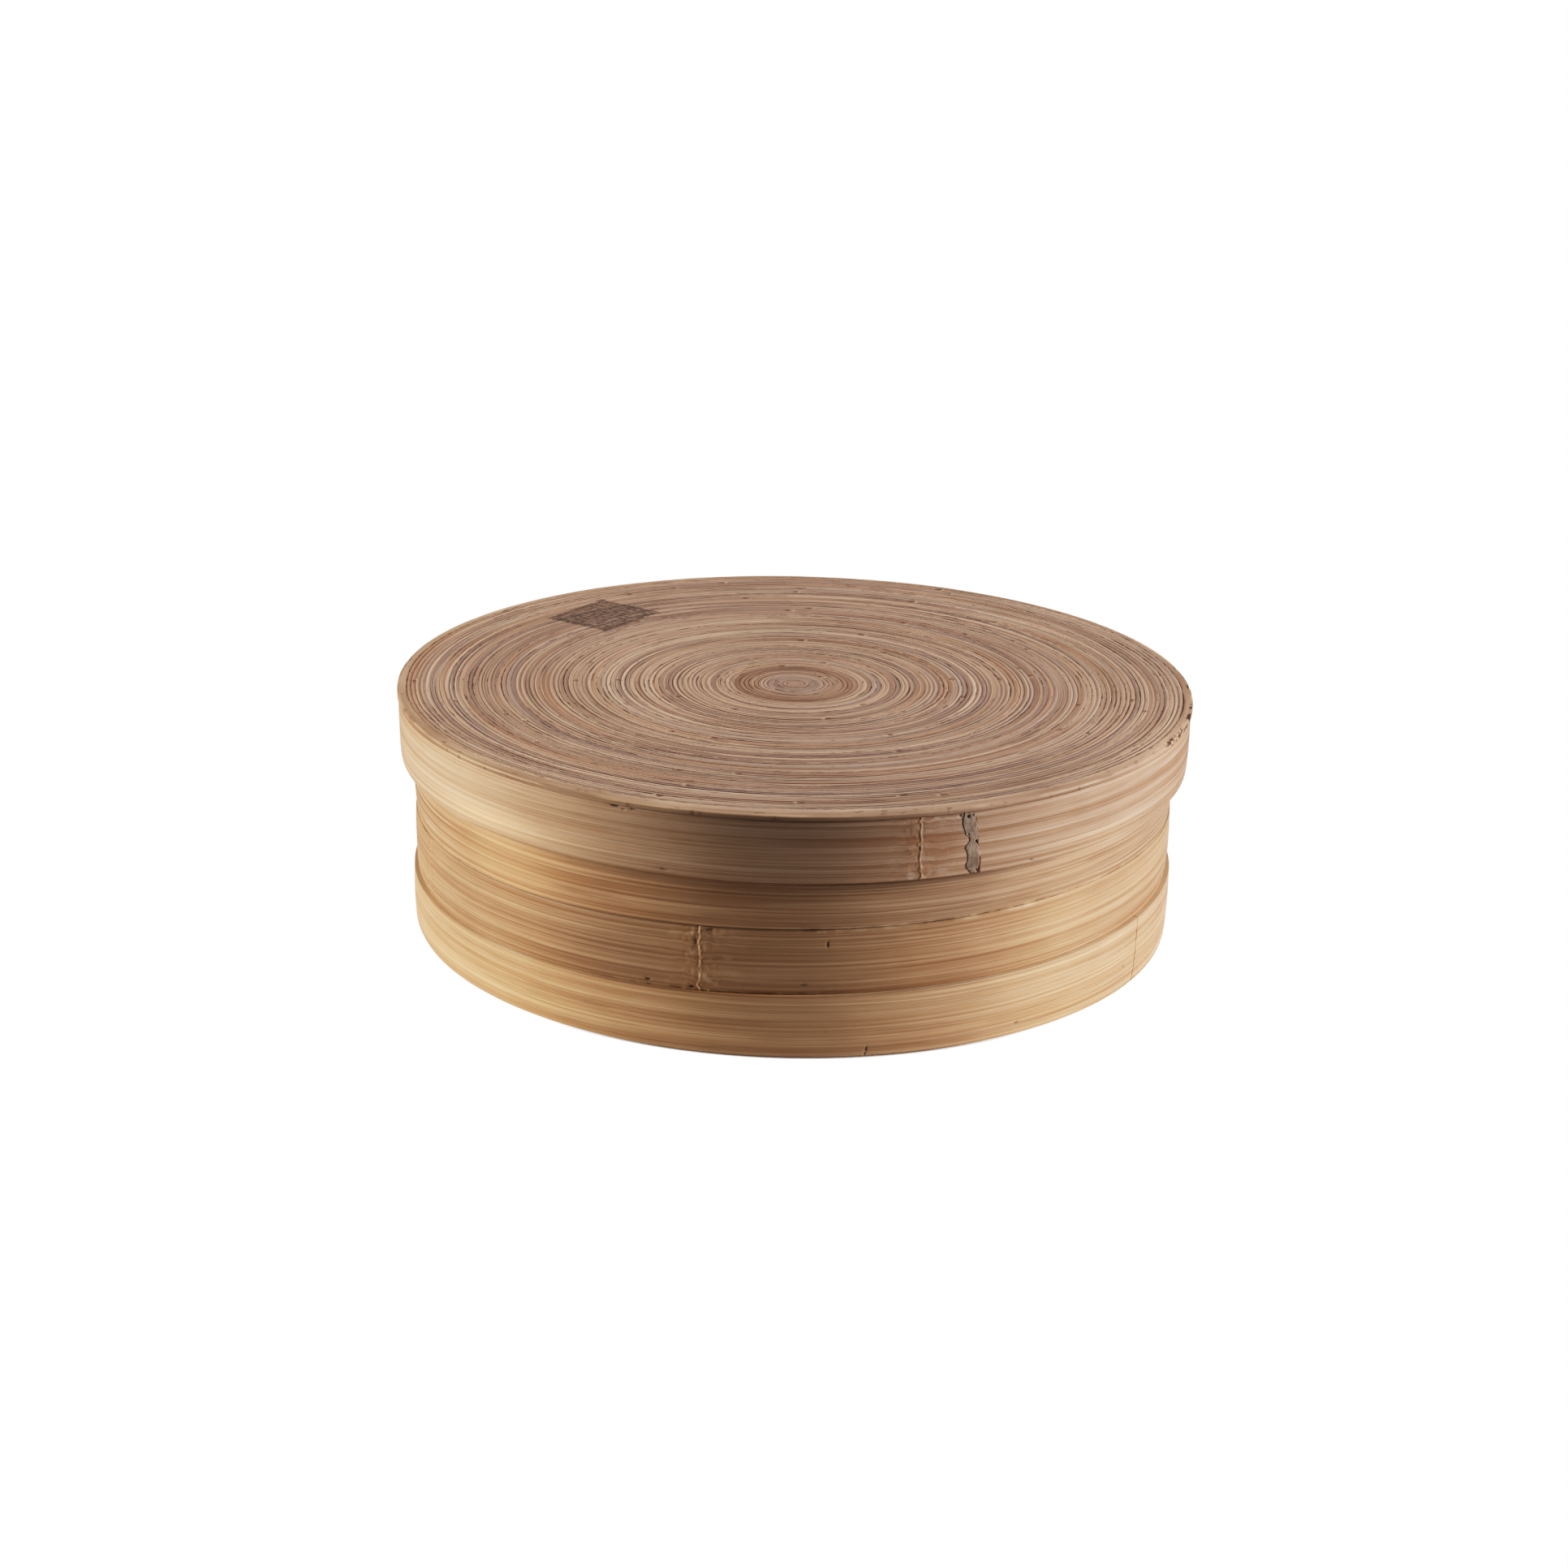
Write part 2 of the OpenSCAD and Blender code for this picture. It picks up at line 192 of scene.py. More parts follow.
def makeHoopFinish(name, tone):
    material, b = startFinish(name)
    x, y, z = b.split(b.node("ShaderNodeTexCoord", out="Object"))
    shift = tone["shift"]
    ridge, knot, pale, dark, warm, pit, lift = (b.attribute(key) for key in markNames)
    # The fibres run round the hoop, wave gently, and scramble beside a bamboo node
    wander = (b.noise(b.point(x * 13, y * 13, z * 40 + shift)) - 0.5) * 0.0005
    scramble = (b.noise(b.point(x * 150, y * 150, z * 260)) - 0.5) * knot * 0.004
    fibreZ = z - x * tone["tilt"] + wander + scramble
    fine = b.noise(b.point(x * 7 + shift, y * 7, fibreZ * 1900), 1, 2, 0.6)
    middling = b.noise(b.point(x * 5, y * 5 + shift, fibreZ * 1180), 1, 1, 0.5)
    wide = b.noise(b.point(x * 4 - shift, y * 4, fibreZ * 620), 1, 1, 0.5)
    broad = b.noise(b.point(x * 7 + shift, y * 7, fibreZ * 130), 1, 1, 0.5)
    hair = b.noise(b.point(x * 12, y * 12 - shift, fibreZ * 1900), 1, 1, 0.6)
    mottle = b.noise(b.point(x * 60, y * 60, z * 90 + shift), 1, 2, 0.6)
    streak = tone["streak"]
    streaks = (fine - 0.5) * 1.5 + (middling - 0.5) * 1.8 + (wide - 0.5) * 1.1
    # The last mark, painted highlight and shade, also lightens or darkens the streaks' mix
    share = 0.52 + streaks * streak + (broad - 0.5) * 0.55 + (mottle - 0.5) * 0.30 + lift * 0.2
    colour = b.mix(share, tone["dark"], tone["light"])
    # Thin lines follow the places where a slow noise passes its middle value
    lineA = b.noise(b.point(x * 5 + 40, y * 5, fibreZ * 640 + shift), 1, 2, 0.55)
    lineB = b.noise(b.point(x * 6 - 40, y * 6, fibreZ * 560 - shift), 1, 2, 0.55)
    broken = b.smooth(b.noise(b.point(x * 30, y * 30, fibreZ * 420), 1, 1), 0.40, 0.58)
    darkLine = b.smooth(abs(lineA - 0.5), 0.008, 0.045, 1.0, 0.0) * broken
    paleLine = b.smooth(abs(lineB - 0.5), 0.008, 0.045, 1.0, 0.0) * (1 - broken * 0.6)
    # Painted highlight where the last mark is above zero, towards pale and brighter; painted shade where it is below
    # zero
    colour = b.mix(lift * 0.25, colour, tone["pale"])
    colour = b.mix(1.0, colour, b.point(1 + lift * 0.80, 1 + lift * 0.72, 1 + lift * 0.45), "MULTIPLY")
    colour = b.mix(paleLine * 0.28 * streak, colour, tone["pale"])
    colour = b.mix(darkLine * 0.30 * streak, colour, tone["line"])
    colour = b.mix(b.smooth(hair, 0.60, 0.72) * 0.24 * streak, colour, tone["pale"])
    colour = b.mix(b.smooth(1 - hair, 0.60, 0.70) * 0.24 * streak, colour, tone["line"])
    fleck = b.smooth(b.noise(b.point(x * 240, y * 240, z * 330 + shift), 1, 1), 0.55, 0.75) * knot
    colour = b.mix(fleck * 0.6, colour, tone["pale"])
    colour = b.mix(warm, colour, (0.38, 0.19, 0.085))
    colour = b.mix(dark * b.smooth(fine, 0.30, 0.62), colour, (0.11, 0.06, 0.028))
    patchy = b.smooth(b.noise(b.point(x * 120, y * 120, z * 200), 1, 2), 0.38, 0.55)
    colour = b.mix(pale * patchy, colour, (0.82, 0.66, 0.45))
    colour = b.mix(ridge, colour, (0.80, 0.62, 0.40))
    colour = b.mix(pit, colour, (0.03, 0.018, 0.010))
    roughness = 0.50 + (middling - 0.5) * 0.25 + pit * 0.3
    height = fine * 0.5 + hair * 0.4 + middling * 0.9 - darkLine * 0.4 + paleLine * 0.3
    endFinish(b, colour, roughness, height, 0.4, 0.0002, gloss=0.6, coat=0.70 - 0.70 * dark, coatRough=0.40)
    return material


finishes = {name: makeHoopFinish(name, tone) for name, tone in hoopTones.items()}

coilTones = {
    "dark": (0.295, 0.192, 0.138), "light": (0.69, 0.530, 0.405),
    "purple": (0.32, 0.245, 0.225), "red": (0.46, 0.255, 0.160),
    "cream": (0.86, 0.71, 0.56), "gap": (0.115, 0.068, 0.050), "knot": (0.16, 0.085, 0.058), "burn": (0.120, 0.088, 0.070),
}
coilMiddle = {"x": -0.5, "y": -6.7}  # mm, where the coil starts, a little off the lid's middle
# A burnt square with a plain basket weave, in mm and degrees
stamp = {"x": -65.8, "y": 67.5, "long": 30.0, "short": 25.5, "turn": 56.4, "cell": 5.1}
joints = {"apart": 0.52, "stray": 0.9}  # metres of strip between bamboo joints, and how far each strays


def jointPlace(b, number):
    return (number + 0.5 + (b.noise(b.point(number * 7.31, 2.7, 0.0), 1, 0) - 0.5) * joints["stray"]) * joints["apart"]


def makeCoilFinish():
    material, b = startFinish("coiledBamboo")
    place = b.node("ShaderNodeTexCoord", out="Object")
    x, y, z = b.split(place)
    along, across = b.attribute("along"), b.attribute("across")
    radius = (x * x + y * y) ** 0.5
    wander = (b.noise(b.point(x * 15, y * 15, 0.37)) - 0.5) * 0.8
    fibre = b.noise(b.point(along * 9, across * 1.7 + wander, 4.37), 1, 2, 0.65)
    strip = b.noise(b.point(along * 7, 9.41, across * 0.12 + 0.37), 1, 1, 0.5)
    group = b.noise(b.point(x * 12, y * 12, radius * 170), 1, 2, 0.6)
    calm = b.smooth(radius, 0.004, 0.03, 0.5, 1.0)
    share = 0.48 + (fibre - 0.5) * 1.8 + (strip - 0.5) * 1.05 * calm + (group - 0.5) * 0.6
    colour = b.mix(share, coilTones["dark"], coilTones["light"])
    purple = b.smooth(b.noise(b.point(along * 5, across * 0.25 + 0.4, 20.43), 1, 1), 0.53, 0.60)
    red = b.smooth(b.noise(b.point(along * 7, across * 0.4 + 0.6, 31.27), 1, 1), 0.57, 0.66)
    cream = b.smooth(b.noise(b.point(along * 8, across * 1.1 + 0.7, 47.61), 1, 1), 0.58, 0.65)
    colour = b.mix(purple * 0.52, colour, coilTones["purple"])
    colour = b.mix(red * 0.48, colour, coilTones["red"])
    colour = b.mix(cream * 0.34, colour, coilTones["cream"])
    # Dotted dark lines and long thin gaps lie between the strips
    side = b.smooth(abs(across), 0.45, 0.9)
    dotted = b.smooth(b.noise(b.point(along * 230, across * 1.2 + 0.45, 3.37), 1, 2, 0.6), 0.47, 0.56) \
        * b.smooth(b.noise(b.point(x * 20, y * 20, radius * 330), 1, 1), 0.50, 0.58)
    gap = b.smooth(b.noise(b.point(along * 10, 66.3, 0.41), 1, 2), 0.52, 0.60)
    colour = b.mix(side * dotted * 0.88, colour, coilTones["gap"])
    colour = b.mix(side * (0.06 + gap * 0.70), colour, coilTones["gap"])
    speck = b.smooth(b.noise(b.point(along * 220, across * 1.6 + 0.35, 80.57), 1, 2, 0.6), 0.64, 0.72)
    colour = b.mix(speck * 0.65, colour, coilTones["gap"])
    # A bamboo joint in a strip: a pale bar with a dark one on either side
    number = (along / joints["apart"]).math("FLOOR", along / joints["apart"])
    toJoint = along - jointPlace(b, number) + (b.noise(b.point(along * 500, across * 1.5 + 0.4, 9.43), 1, 1) - 0.5) * 0.0016
    ragged = b.smooth(b.noise(b.point(along * 700, across * 2.2 + 0.3, 1.39), 1, 1), 0.35, 0.55)
    flank = b.smooth(abs(toJoint - 0.0016), 0.0004, 0.0017, 1.0, 0.0) * ragged
    bar = b.smooth(abs(toJoint), 0.0002, 0.0008, 1.0, 0.0)
    colour = b.mix(flank * 0.80, colour, coilTones["knot"])
    colour = b.mix(bar * 0.40, colour, coilTones["cream"])
    # The coil starts off the middle of the lid, in a darker ring
    midX, midY = x - coilMiddle["x"] * mm, y - coilMiddle["y"] * mm
    midRadius = (midX * midX + midY * midY) ** 0.5
    ring = b.smooth(abs(midRadius - 17 * mm + (group - 0.5) * 6 * mm), 1.5 * mm, 7 * mm, 1.0, 0.0)
    ring = b.smooth(fibre, 0.25, 0.6, 0.4, 1.0) * ring
    colour = b.mix(ring * 0.42, colour, (0.24, 0.120, 0.070))
    # The burnt square
    turn = math.radians(stamp["turn"])
    offX, offY = x - stamp["x"] * mm, y - stamp["y"] * mm
    u = offX * math.cos(turn) + offY * math.sin(turn)
    v = offY * math.cos(turn) - offX * math.sin(turn)
    shake = (b.noise(b.point(x * 500, y * 500, 0.37), 1, 3, 0.75) - 0.5) * 3.2 * mm
    reach = (abs(u + shake) / (stamp["long"] / 2 * mm)).math("MAXIMUM", abs(u + shake) / (stamp["long"] / 2 * mm),
                                                             abs(v + shake) / (stamp["short"] / 2 * mm))
    inside = 1 - b.smooth(reach, 0.97, 1.02)
    frameLine = b.smooth(reach, 0.80, 0.85)
    cell = stamp["cell"] * mm
    cellU, cellV = (u / cell).math("FLOOR", u / cell), (v / cell).math("FLOOR", v / cell)
    upright = (cellU + cellV).math("PINGPONG", cellU + cellV, 1.0)
    bars = b.node("ShaderNodeMix", {"data_type": "FLOAT"}, {0: upright, 2: u, 3: v})
    weave = b.smooth((bars * (2 * math.pi / (cell / 2))).math("SINE", bars * (2 * math.pi / (cell / 2))), -0.35, 0.25)
    char = b.smooth(b.noise(b.point(x * 500, y * 500, along * 90), 1, 3, 0.7), 0.36, 0.60)
    burn = inside * (0.42 + 0.50 * frameLine.math("MAXIMUM", frameLine, weave) * char)
    worn = b.smooth(b.noise(b.point(x * 1100, y * 1100, 0.61), 1, 2, 0.7), 0.30, 0.52, 0.62, 1.0)
    colour = b.mix(burn * worn, colour, coilTones["burn"])
    height = fibre * 0.7 + strip * 0.4 - side * (0.15 + gap * 0.7) - speck * 0.5 - burn * 0.8 + bar * 0.4 - flank * 0.5
    endFinish(b, colour, 0.60 + (fibre - 0.5) * 0.2 + burn * 0.15, height, 0.6, 0.0003, gloss=0.25)
    return material


finishes["coiledBamboo"] = makeCoilFinish()


def makeEdgeFinish():
    material, b = startFinish("edgeBamboo")
    x, y, z = b.split(b.node("ShaderNodeTexCoord", out="Object"))
    radius = (x * x + y * y) ** 0.5
    fine = b.noise(b.point(x * 12, y * 12, (z * 0.7 + radius) * 1300), 1, 3, 0.6)
    broad = b.noise(b.point(x * 22, y * 22, radius * 300), 1, 2, 0.5)
    speck = b.smooth(b.noise(b.point(x * 260, y * 260, radius * 900), 1, 2, 0.6), 0.60, 0.72)
    colour = b.mix(0.45 + (fine - 0.5) * 1.6 + (broad - 0.5) * 1.8, (0.36, 0.238, 0.160), (0.70, 0.525, 0.380))
    colour = b.mix(speck * 0.5, colour, (0.17, 0.10, 0.065))
    # The pale mark here is a painted highlight along the strip's outer top edge
    colour = b.mix(b.attribute("pale") * 0.7, colour, (0.85, 0.67, 0.45))
    dark = b.attribute("dark")
    bark = b.smooth(b.noise(b.point(x * 400, y * 400, z * 700), 1, 2), 0.40, 0.55)
    colour = b.mix(dark * bark, colour, (0.055, 0.030, 0.018))
    height = fine * 0.7 + broad * 0.6 - dark
    endFinish(b, colour, 0.5 + (fine - 0.5) * 0.2, height, 0.45, 0.0002, gloss=0.45, coat=0.12, coatRough=0.3)
    return material


finishes["edgeBamboo"] = makeEdgeFinish()


def makeFillerFinish():
    material, b = startFinish("jointFiller")
    x, y, z = b.split(b.node("ShaderNodeTexCoord", out="Object"))
    grain = b.noise(b.point(x * 900, y * 900, z * 900), 1, 4, 0.7)
    lump = b.noise(b.point(x * 300, y * 300, z * 220), 1, 2, 0.6)
    colour = b.mix(0.5 + (grain - 0.5) * 1.4 + (lump - 0.5) * 1.8, (0.25, 0.195, 0.150), (0.50, 0.410, 0.330))
    colour = b.mix(b.attribute("pit"), colour, (0.02, 0.014, 0.010))
    endFinish(b, colour, 0.8, grain + lump, 0.25, 0.0003, gloss=0.3)
    return material


finishes["jointFiller"] = makeFillerFinish()


def makeSlatFinish(name, axis, dark, light):
    # Flat bamboo pieces whose fibres run along one axis; each one gets its own tone
    material, b = startFinish(name)
    x, y, z = b.split(b.node("ShaderNodeTexCoord", out="Object"))
    runs, side = (x, y) if axis == "X" else (y, x)
    strip = (side * 80).math("FLOOR", side * 80)
    piece = b.noise(b.point(strip * 3.7, 0.0, 5.0), 1, 0)
    fine = b.noise(b.point(runs * 10, side * 1600, z * 900), 1, 3, 0.6)
    broad = b.noise(b.point(runs * 14, side * 260, z * 200), 1, 2, 0.5)
    joint = b.smooth(abs(b.noise(b.point(runs * 9, strip * 5.3, 9.0), 1, 0) - 0.5), 0.0, 0.012, 1.0, 0.0)
    colour = b.mix(0.5 + (fine - 0.5) * 1.4 + (broad - 0.5) * 0.9 + (piece - 0.5) * 1.2, dark, light)
    colour = b.mix(joint * 0.3, colour, (0.36, 0.20, 0.10))
    endFinish(b, colour, 0.55 + (fine - 0.5) * 0.2, fine + broad * 0.6, 0.4, 0.0002, gloss=0.4, coat=0.05)
    return material


finishes["slatBamboo"] = makeSlatFinish("slatBamboo", "X", (0.55, 0.36, 0.18), (0.86, 0.68, 0.43))
finishes["barBamboo"] = makeSlatFinish("barBamboo", "Y", (0.50, 0.31, 0.15), (0.80, 0.60, 0.36))


def makePinFinish():
    material, b = startFinish("pinBamboo")
    x, y, z = b.split(b.node("ShaderNodeTexCoord", out="Object"))
    grain = b.noise(b.point(x * 2600, y * 2600, z * 160), 1, 2, 0.6)
    cell = b.noise(b.point(x * 90, y * 90, 0.0), 1, 0)
    colour = b.mix(0.5 + (grain - 0.5) * 1.5 + (cell - 0.5) * 1.5, (0.30, 0.16, 0.075), (0.62, 0.42, 0.22))
    endFinish(b, colour, 0.6, grain, 0.4, 0.0002, gloss=0.35)
    return material


finishes["pinBamboo"] = makePinFinish()


def makeKnotFinish():
    material, b = startFinish("knotBamboo")
    x, y, z = b.split(b.node("ShaderNodeTexCoord", out="Object"))
    grain = b.noise(b.point(x * 1400, y * 1400, z * 900), 1, 3, 0.7)
    tone = b.attribute("tone")
    colour = b.mix(tone + (grain - 0.5) * 0.7, (0.22, 0.12, 0.075), (0.76, 0.58, 0.41))
    endFinish(b, colour, 0.65, grain, 0.6, 0.0003, gloss=0.35)
    return material


finishes["knotBamboo"] = makeKnotFinish()

print("coil")
coil = {  # mm, the same spiral as the lid's own strips
    "strip": 1.44, "glue": 0.06, "edgeStrip": 2.9, "coreMin": 2.0, "strips": 12, "stepsPerHalf": 88,
    "shoulder": 0.10, "dip": 0.18, "midX": coilMiddle["x"], "midY": coilMiddle["y"],
    "coreTurns": 24, "coreSunk": 0.12,
}
discLow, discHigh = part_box("lid_core")[0].z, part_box("lid_core")[1].z
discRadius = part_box("lid_edge_strip")[1].x
coil["pitch"] = coil["strip"] + coil["glue"]
coil["outer"] = discRadius / mm - coil["edgeStrip"] - coil["glue"]
coil["turns"] = math.floor((coil["outer"] - coil["strip"] - coil["glue"] - coil["coreMin"]) / coil["pitch"] + 1e-6)
coil["inner"] = coil["outer"] - coil["strip"] - coil["turns"] * coil["pitch"]
coil["halves"] = 2 * coil["turns"] + 3


def growTree(name, inputs):
    tree = bpy.data.node_groups.new(name, "GeometryNodeTree")
    kinds = {int: "NodeSocketInt", float: "NodeSocketFloat", type(None): "NodeSocketMaterial"}
    for label, value in inputs.items():
        item = tree.interface.new_socket(name=label, in_out="INPUT", socket_type=kinds[type(value)])
        if value is not None:
            item.default_value = value
    tree.interface.new_socket(name="Geometry", in_out="OUTPUT", socket_type="NodeSocketGeometry")
    b = Bench(tree)
    given = tree.nodes.new("NodeGroupInput")
    return b, {label: Wire(b, given.outputs[label]) for label in inputs}


def endTree(b, geometry, material):
    whole = b.node("GeometryNodeRealizeInstances", None, [geometry])
    whole = b.node("GeometryNodeSetMaterial", None, {"Geometry": whole, "Material": material})
    b.tree.links.new(whole.socket, b.tree.nodes.new("NodeGroupOutput").inputs["Geometry"])


def growPiece(name, b, values):
    piece = bpy.data.objects.new(name, bpy.data.meshes.new(name))
    scene.collection.objects.link(piece)
    modifier = piece.modifiers.new("grow", "NODES")
    modifier.node_group = b.tree
    for item in b.tree.interface.items_tree:
        if item.in_out == "INPUT" and item.name in values:
            modifier[item.identifier] = values[item.name]
    grown = bpy.data.meshes.new_from_object(piece.evaluated_get(bpy.context.evaluated_depsgraph_get()))
    piece.modifiers.clear()
    piece.data = grown
    grown.name = name
    return piece


def store(b, geometry, name, value):
    return b.node("GeometryNodeStoreNamedAttribute", {"data_type": "FLOAT", "domain": "POINT"},
                  {"Geometry": geometry, "Name": name, "Value": value})


def spiralPoint(b, halfTurns, given):
    # The middle of the strip after so many half turns: near half turns are centred half a pitch to the side
    whole = halfTurns.math("FLOOR", halfTurns)
    near = 1 - whole.math("MODULO", whole, 2.0)
    ringCount = ((whole - 1) / 2).math("FLOOR", (whole - 1) / 2)
    radius = given["inner"] + given["pitch"] * (ringCount + near * 0.5) + given["strip"] / 2
    angle = (halfTurns + 1) * math.pi
    x = near * given["pitch"] / 2 + radius * angle.math("COSINE", angle)
    y = radius * angle.math("SINE", angle)
    along = (given["inner"] * halfTurns + given["pitch"] * halfTurns * halfTurns / 4) * math.pi
    return x, y, along, angle


def leanToMiddle(b, x, y, given):
    # Inner turns lie round a point a little off the middle
    far = (x * x + y * y) / (given["outer"] * given["outer"])
    share = far.math("MAXIMUM", 1 - far, 0.0)
    return x + share * given["midX"], y + share * given["midY"]


def makeCoilTree():
    b, given = growTree("coilStrip", {
        "firstHalf": 0.0, "points": 10, "step": 0.01, "inner": 0.002, "outer": 0.122, "pitch": 0.0015, "strip": 0.00144,
        "low": 0.07, "high": 0.075, "shoulder": 0.0002, "dip": 0.0003, "midX": 0.0, "midY": 0.0, "finish": None})
    line = b.node("GeometryNodeMeshToCurve", None, [b.node("GeometryNodeMeshLine", None, {"Count": given["points"]})])
    halfTurns = given["firstHalf"] + b.node("GeometryNodeInputIndex") * given["step"]
    x, y, along, angle = spiralPoint(b, halfTurns, given)
    line = store(b, line, "along", along)
    line = b.node("GeometryNodeSetPosition", None, {"Geometry": line, "Position": b.point(x, y, 0.0)})
    line = b.node("GeometryNodeSetCurveNormal", {"mode": "Z_UP"}, {"Curve": line})
    ring = b.node("GeometryNodeCurvePrimitiveCircle", None, {"Resolution": 8})
    corner = (b.node("GeometryNodeInputIndex") + 0.5) * (math.pi / 4)
    cosine, sine = corner.math("COSINE", corner), corner.math("SINE", corner)
    beside = abs(cosine) > abs(sine)
    ringX = cosine.math("SIGN", cosine) * (given["pitch"] / 2 - given["shoulder"] * (1 - beside))  # the turns touch
    ringZ = sine.math("SIGN", sine) * ((given["high"] - given["low"]) / 2 - given["shoulder"] * beside)
    ring = b.node("GeometryNodeSetPosition", None, {"Geometry": ring, "Position": b.point(ringX, ringZ, 0.0)})
    ring = store(b, ring, "across", ringX / (given["pitch"] / 2))
    ring = store(b, ring, "upper", ringZ < 0)  # the ring's own Y points down once it is on the line
    mesh = b.node("GeometryNodeCurveToMesh", None, {"Curve": line, "Profile Curve": ring, "Fill Caps": True})
    px, py, pz = b.split(b.node("GeometryNodeInputPosition"))
    radius = (px * px + py * py) ** 0.5
    # The first and last half turns taper under their neighbours
    held = radius.math("MINIMUM", radius.math("MAXIMUM", radius, given["inner"]), given["outer"]) / radius
    alongNow = b.node("GeometryNodeInputNamedAttribute", {"data_type": "FLOAT"}, {"Name": "along"})
    acrossNow = b.node("GeometryNodeInputNamedAttribute", {"data_type": "FLOAT"}, {"Name": "across"})
    upper = b.node("GeometryNodeInputNamedAttribute", {"data_type": "FLOAT"}, {"Name": "upper"})
    slowSink = b.noise(b.point(alongNow * 9, 2.0, 5.0), 1, 2, 0.6) * 0.7
    sink = slowSink + b.noise(b.point(alongNow * 70, acrossNow * 0.6, 0.0), 1, 1) * 0.3
    sink = b.smooth(sink, 0.30, 0.70) * given["dip"]
    middle = (given["low"] + given["high"]) / 2
    leanX, leanY = leanToMiddle(b, px * held, py * held, given)
    placed = b.point(leanX, leanY, middle + pz - sink * (2 * upper - 1))
    mesh = b.node("GeometryNodeSetPosition", None, {"Geometry": mesh, "Position": placed})
    mesh = b.node("GeometryNodeSetShadeSmooth", None, {"Geometry": mesh, "Shade Smooth": True})
    endTree(b, mesh, given["finish"])
    return b


coilValues = {key: coil[key] * mm for key in ("inner", "outer", "pitch", "strip", "shoulder", "dip", "midX", "midY")}
coilValues.update(low=discLow, high=discHigh, finish=finishes["coiledBamboo"])
coilTree = makeCoilTree()
stripStart = [round(coil["halves"] * math.sqrt(i / coil["strips"])) for i in range(coil["strips"] + 1)]
for i in range(coil["strips"]):
    halves = stripStart[i + 1] - stripStart[i]
    steps = halves * (coil["stepsPerHalf"] if i else 60)
    values = dict(coilValues, firstHalf=float(stripStart[i]), points=steps, step=halves / (steps - 1) - 1e-7)
    piece = growPiece(f"lidStrip{i + 1}", coilTree, values)
    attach(piece, "lid")
    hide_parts(f"lid_coil_{i + 1}")


def makeCore():
    # The dowel that the coil starts on, where the leaning coil puts it
    turns = coil["coreTurns"]
    core = np.linspace(0, 2 * math.pi, turns, endpoint=False)
    radius = coil["inner"] - coil["glue"]
    low, high = discLow / mm, discHigh / mm - coil["coreSunk"]
    ring = [(coil["midX"] + math.cos(a) * radius, coil["midY"] + math.sin(a) * radius) for a in core]
    points = [(x, y, z) for z in (low, high) for x, y in ring]
    faces = [(i, (i + 1) % turns, turns + (i + 1) % turns, turns + i) for i in range(turns)]
    faces += [tuple(range(turns))[::-1], tuple(range(turns, 2 * turns))]
    mesh = bpy.data.meshes.new("lidCore")
    mesh.from_pydata([tuple(value * mm for value in point) for point in points], [], faces)
    mesh.materials.append(finishes["coiledBamboo"])
    piece = bpy.data.objects.new("lidCore", mesh)
    scene.collection.objects.link(piece)
    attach(piece, "lid")
    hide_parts("lid_core")


makeCore()


def makeKnotTree():
    # A small raised bar where each bamboo joint crosses the top of its strip
    b, given = growTree("coilKnots", {
        "count": 50, "seed": 3, "inner": 0.002, "outer": 0.122, "pitch": 0.0015, "strip": 0.00144,
        "high": 0.075, "midX": 0.0, "midY": 0.0, "long": 0.002, "wide": 0.001, "rise": 0.0001, "finish": None})

    def chance(offset, low, high):
        return b.node("FunctionNodeRandomValue", {"data_type": "FLOAT"},
                      {2: low, 3: high, 8: given["seed"] + offset}, out=1)

    points = b.node("GeometryNodePoints", None, {"Count": given["count"]})
    along = jointPlace(b, b.node("GeometryNodeInputIndex") * 1.0)
    reached = (given["inner"] * given["inner"] + given["pitch"] * along / math.pi) ** 0.5
    x, y, _, angle = spiralPoint(b, (reached - given["inner"]) * 2 / given["pitch"], given)
    leanX, leanY = leanToMiddle(b, x, y, given)
    points = b.node("GeometryNodeSetPosition", None, {
        "Geometry": points, "Position": b.point(leanX, leanY, given["high"] - given["rise"])})
    chip = b.node("GeometryNodeMeshUVSphere", None, {"Segments": 8, "Rings": 5, "Radius": 1.0})
    size = b.point(given["long"] * chance(11, 0.5, 1.2), given["wide"] * chance(12, 0.7, 1.1),
                   given["rise"] * chance(13, 0.7, 1.0))
    turn = b.point(0.0, 0.0, angle + math.pi / 2 + chance(14, -0.12, 0.12))
    chips = b.node("GeometryNodeInstanceOnPoints", None, {
        "Points": points, "Instance": chip, "Rotation": turn, "Scale": size})
    chips = b.node("GeometryNodeStoreNamedAttribute", {"data_type": "FLOAT", "domain": "INSTANCE"},
                   {"Geometry": chips, "Name": "tone", "Value": chance(15, 0.20, 0.75)})
    chips = b.node("GeometryNodeSetShadeSmooth", None, {"Geometry": chips})
    endTree(b, chips, given["finish"])
    return b


knots = {"long": 0.70, "wide": 0.60, "rise": 0.06}  # mm, the largest half sizes
coil["length"] = (coil["inner"] * coil["halves"] + coil["pitch"] * coil["halves"] ** 2 / 4) * math.pi
knotValues = {key: coilValues[key] for key in ("inner", "outer", "pitch", "strip", "midX", "midY", "high")}
knotValues.update({key: value * mm for key, value in knots.items()})
knotPiece = growPiece("lidKnots", makeKnotTree(), dict(
    knotValues, count=int(coil["length"] * mm / joints["apart"]) - 1, seed=5, finish=finishes["knotBamboo"]))
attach(knotPiece, "lid")

print("hoops")
lean = math.tan(math.radians(0.9))  # the seams between the hoops rise towards +X


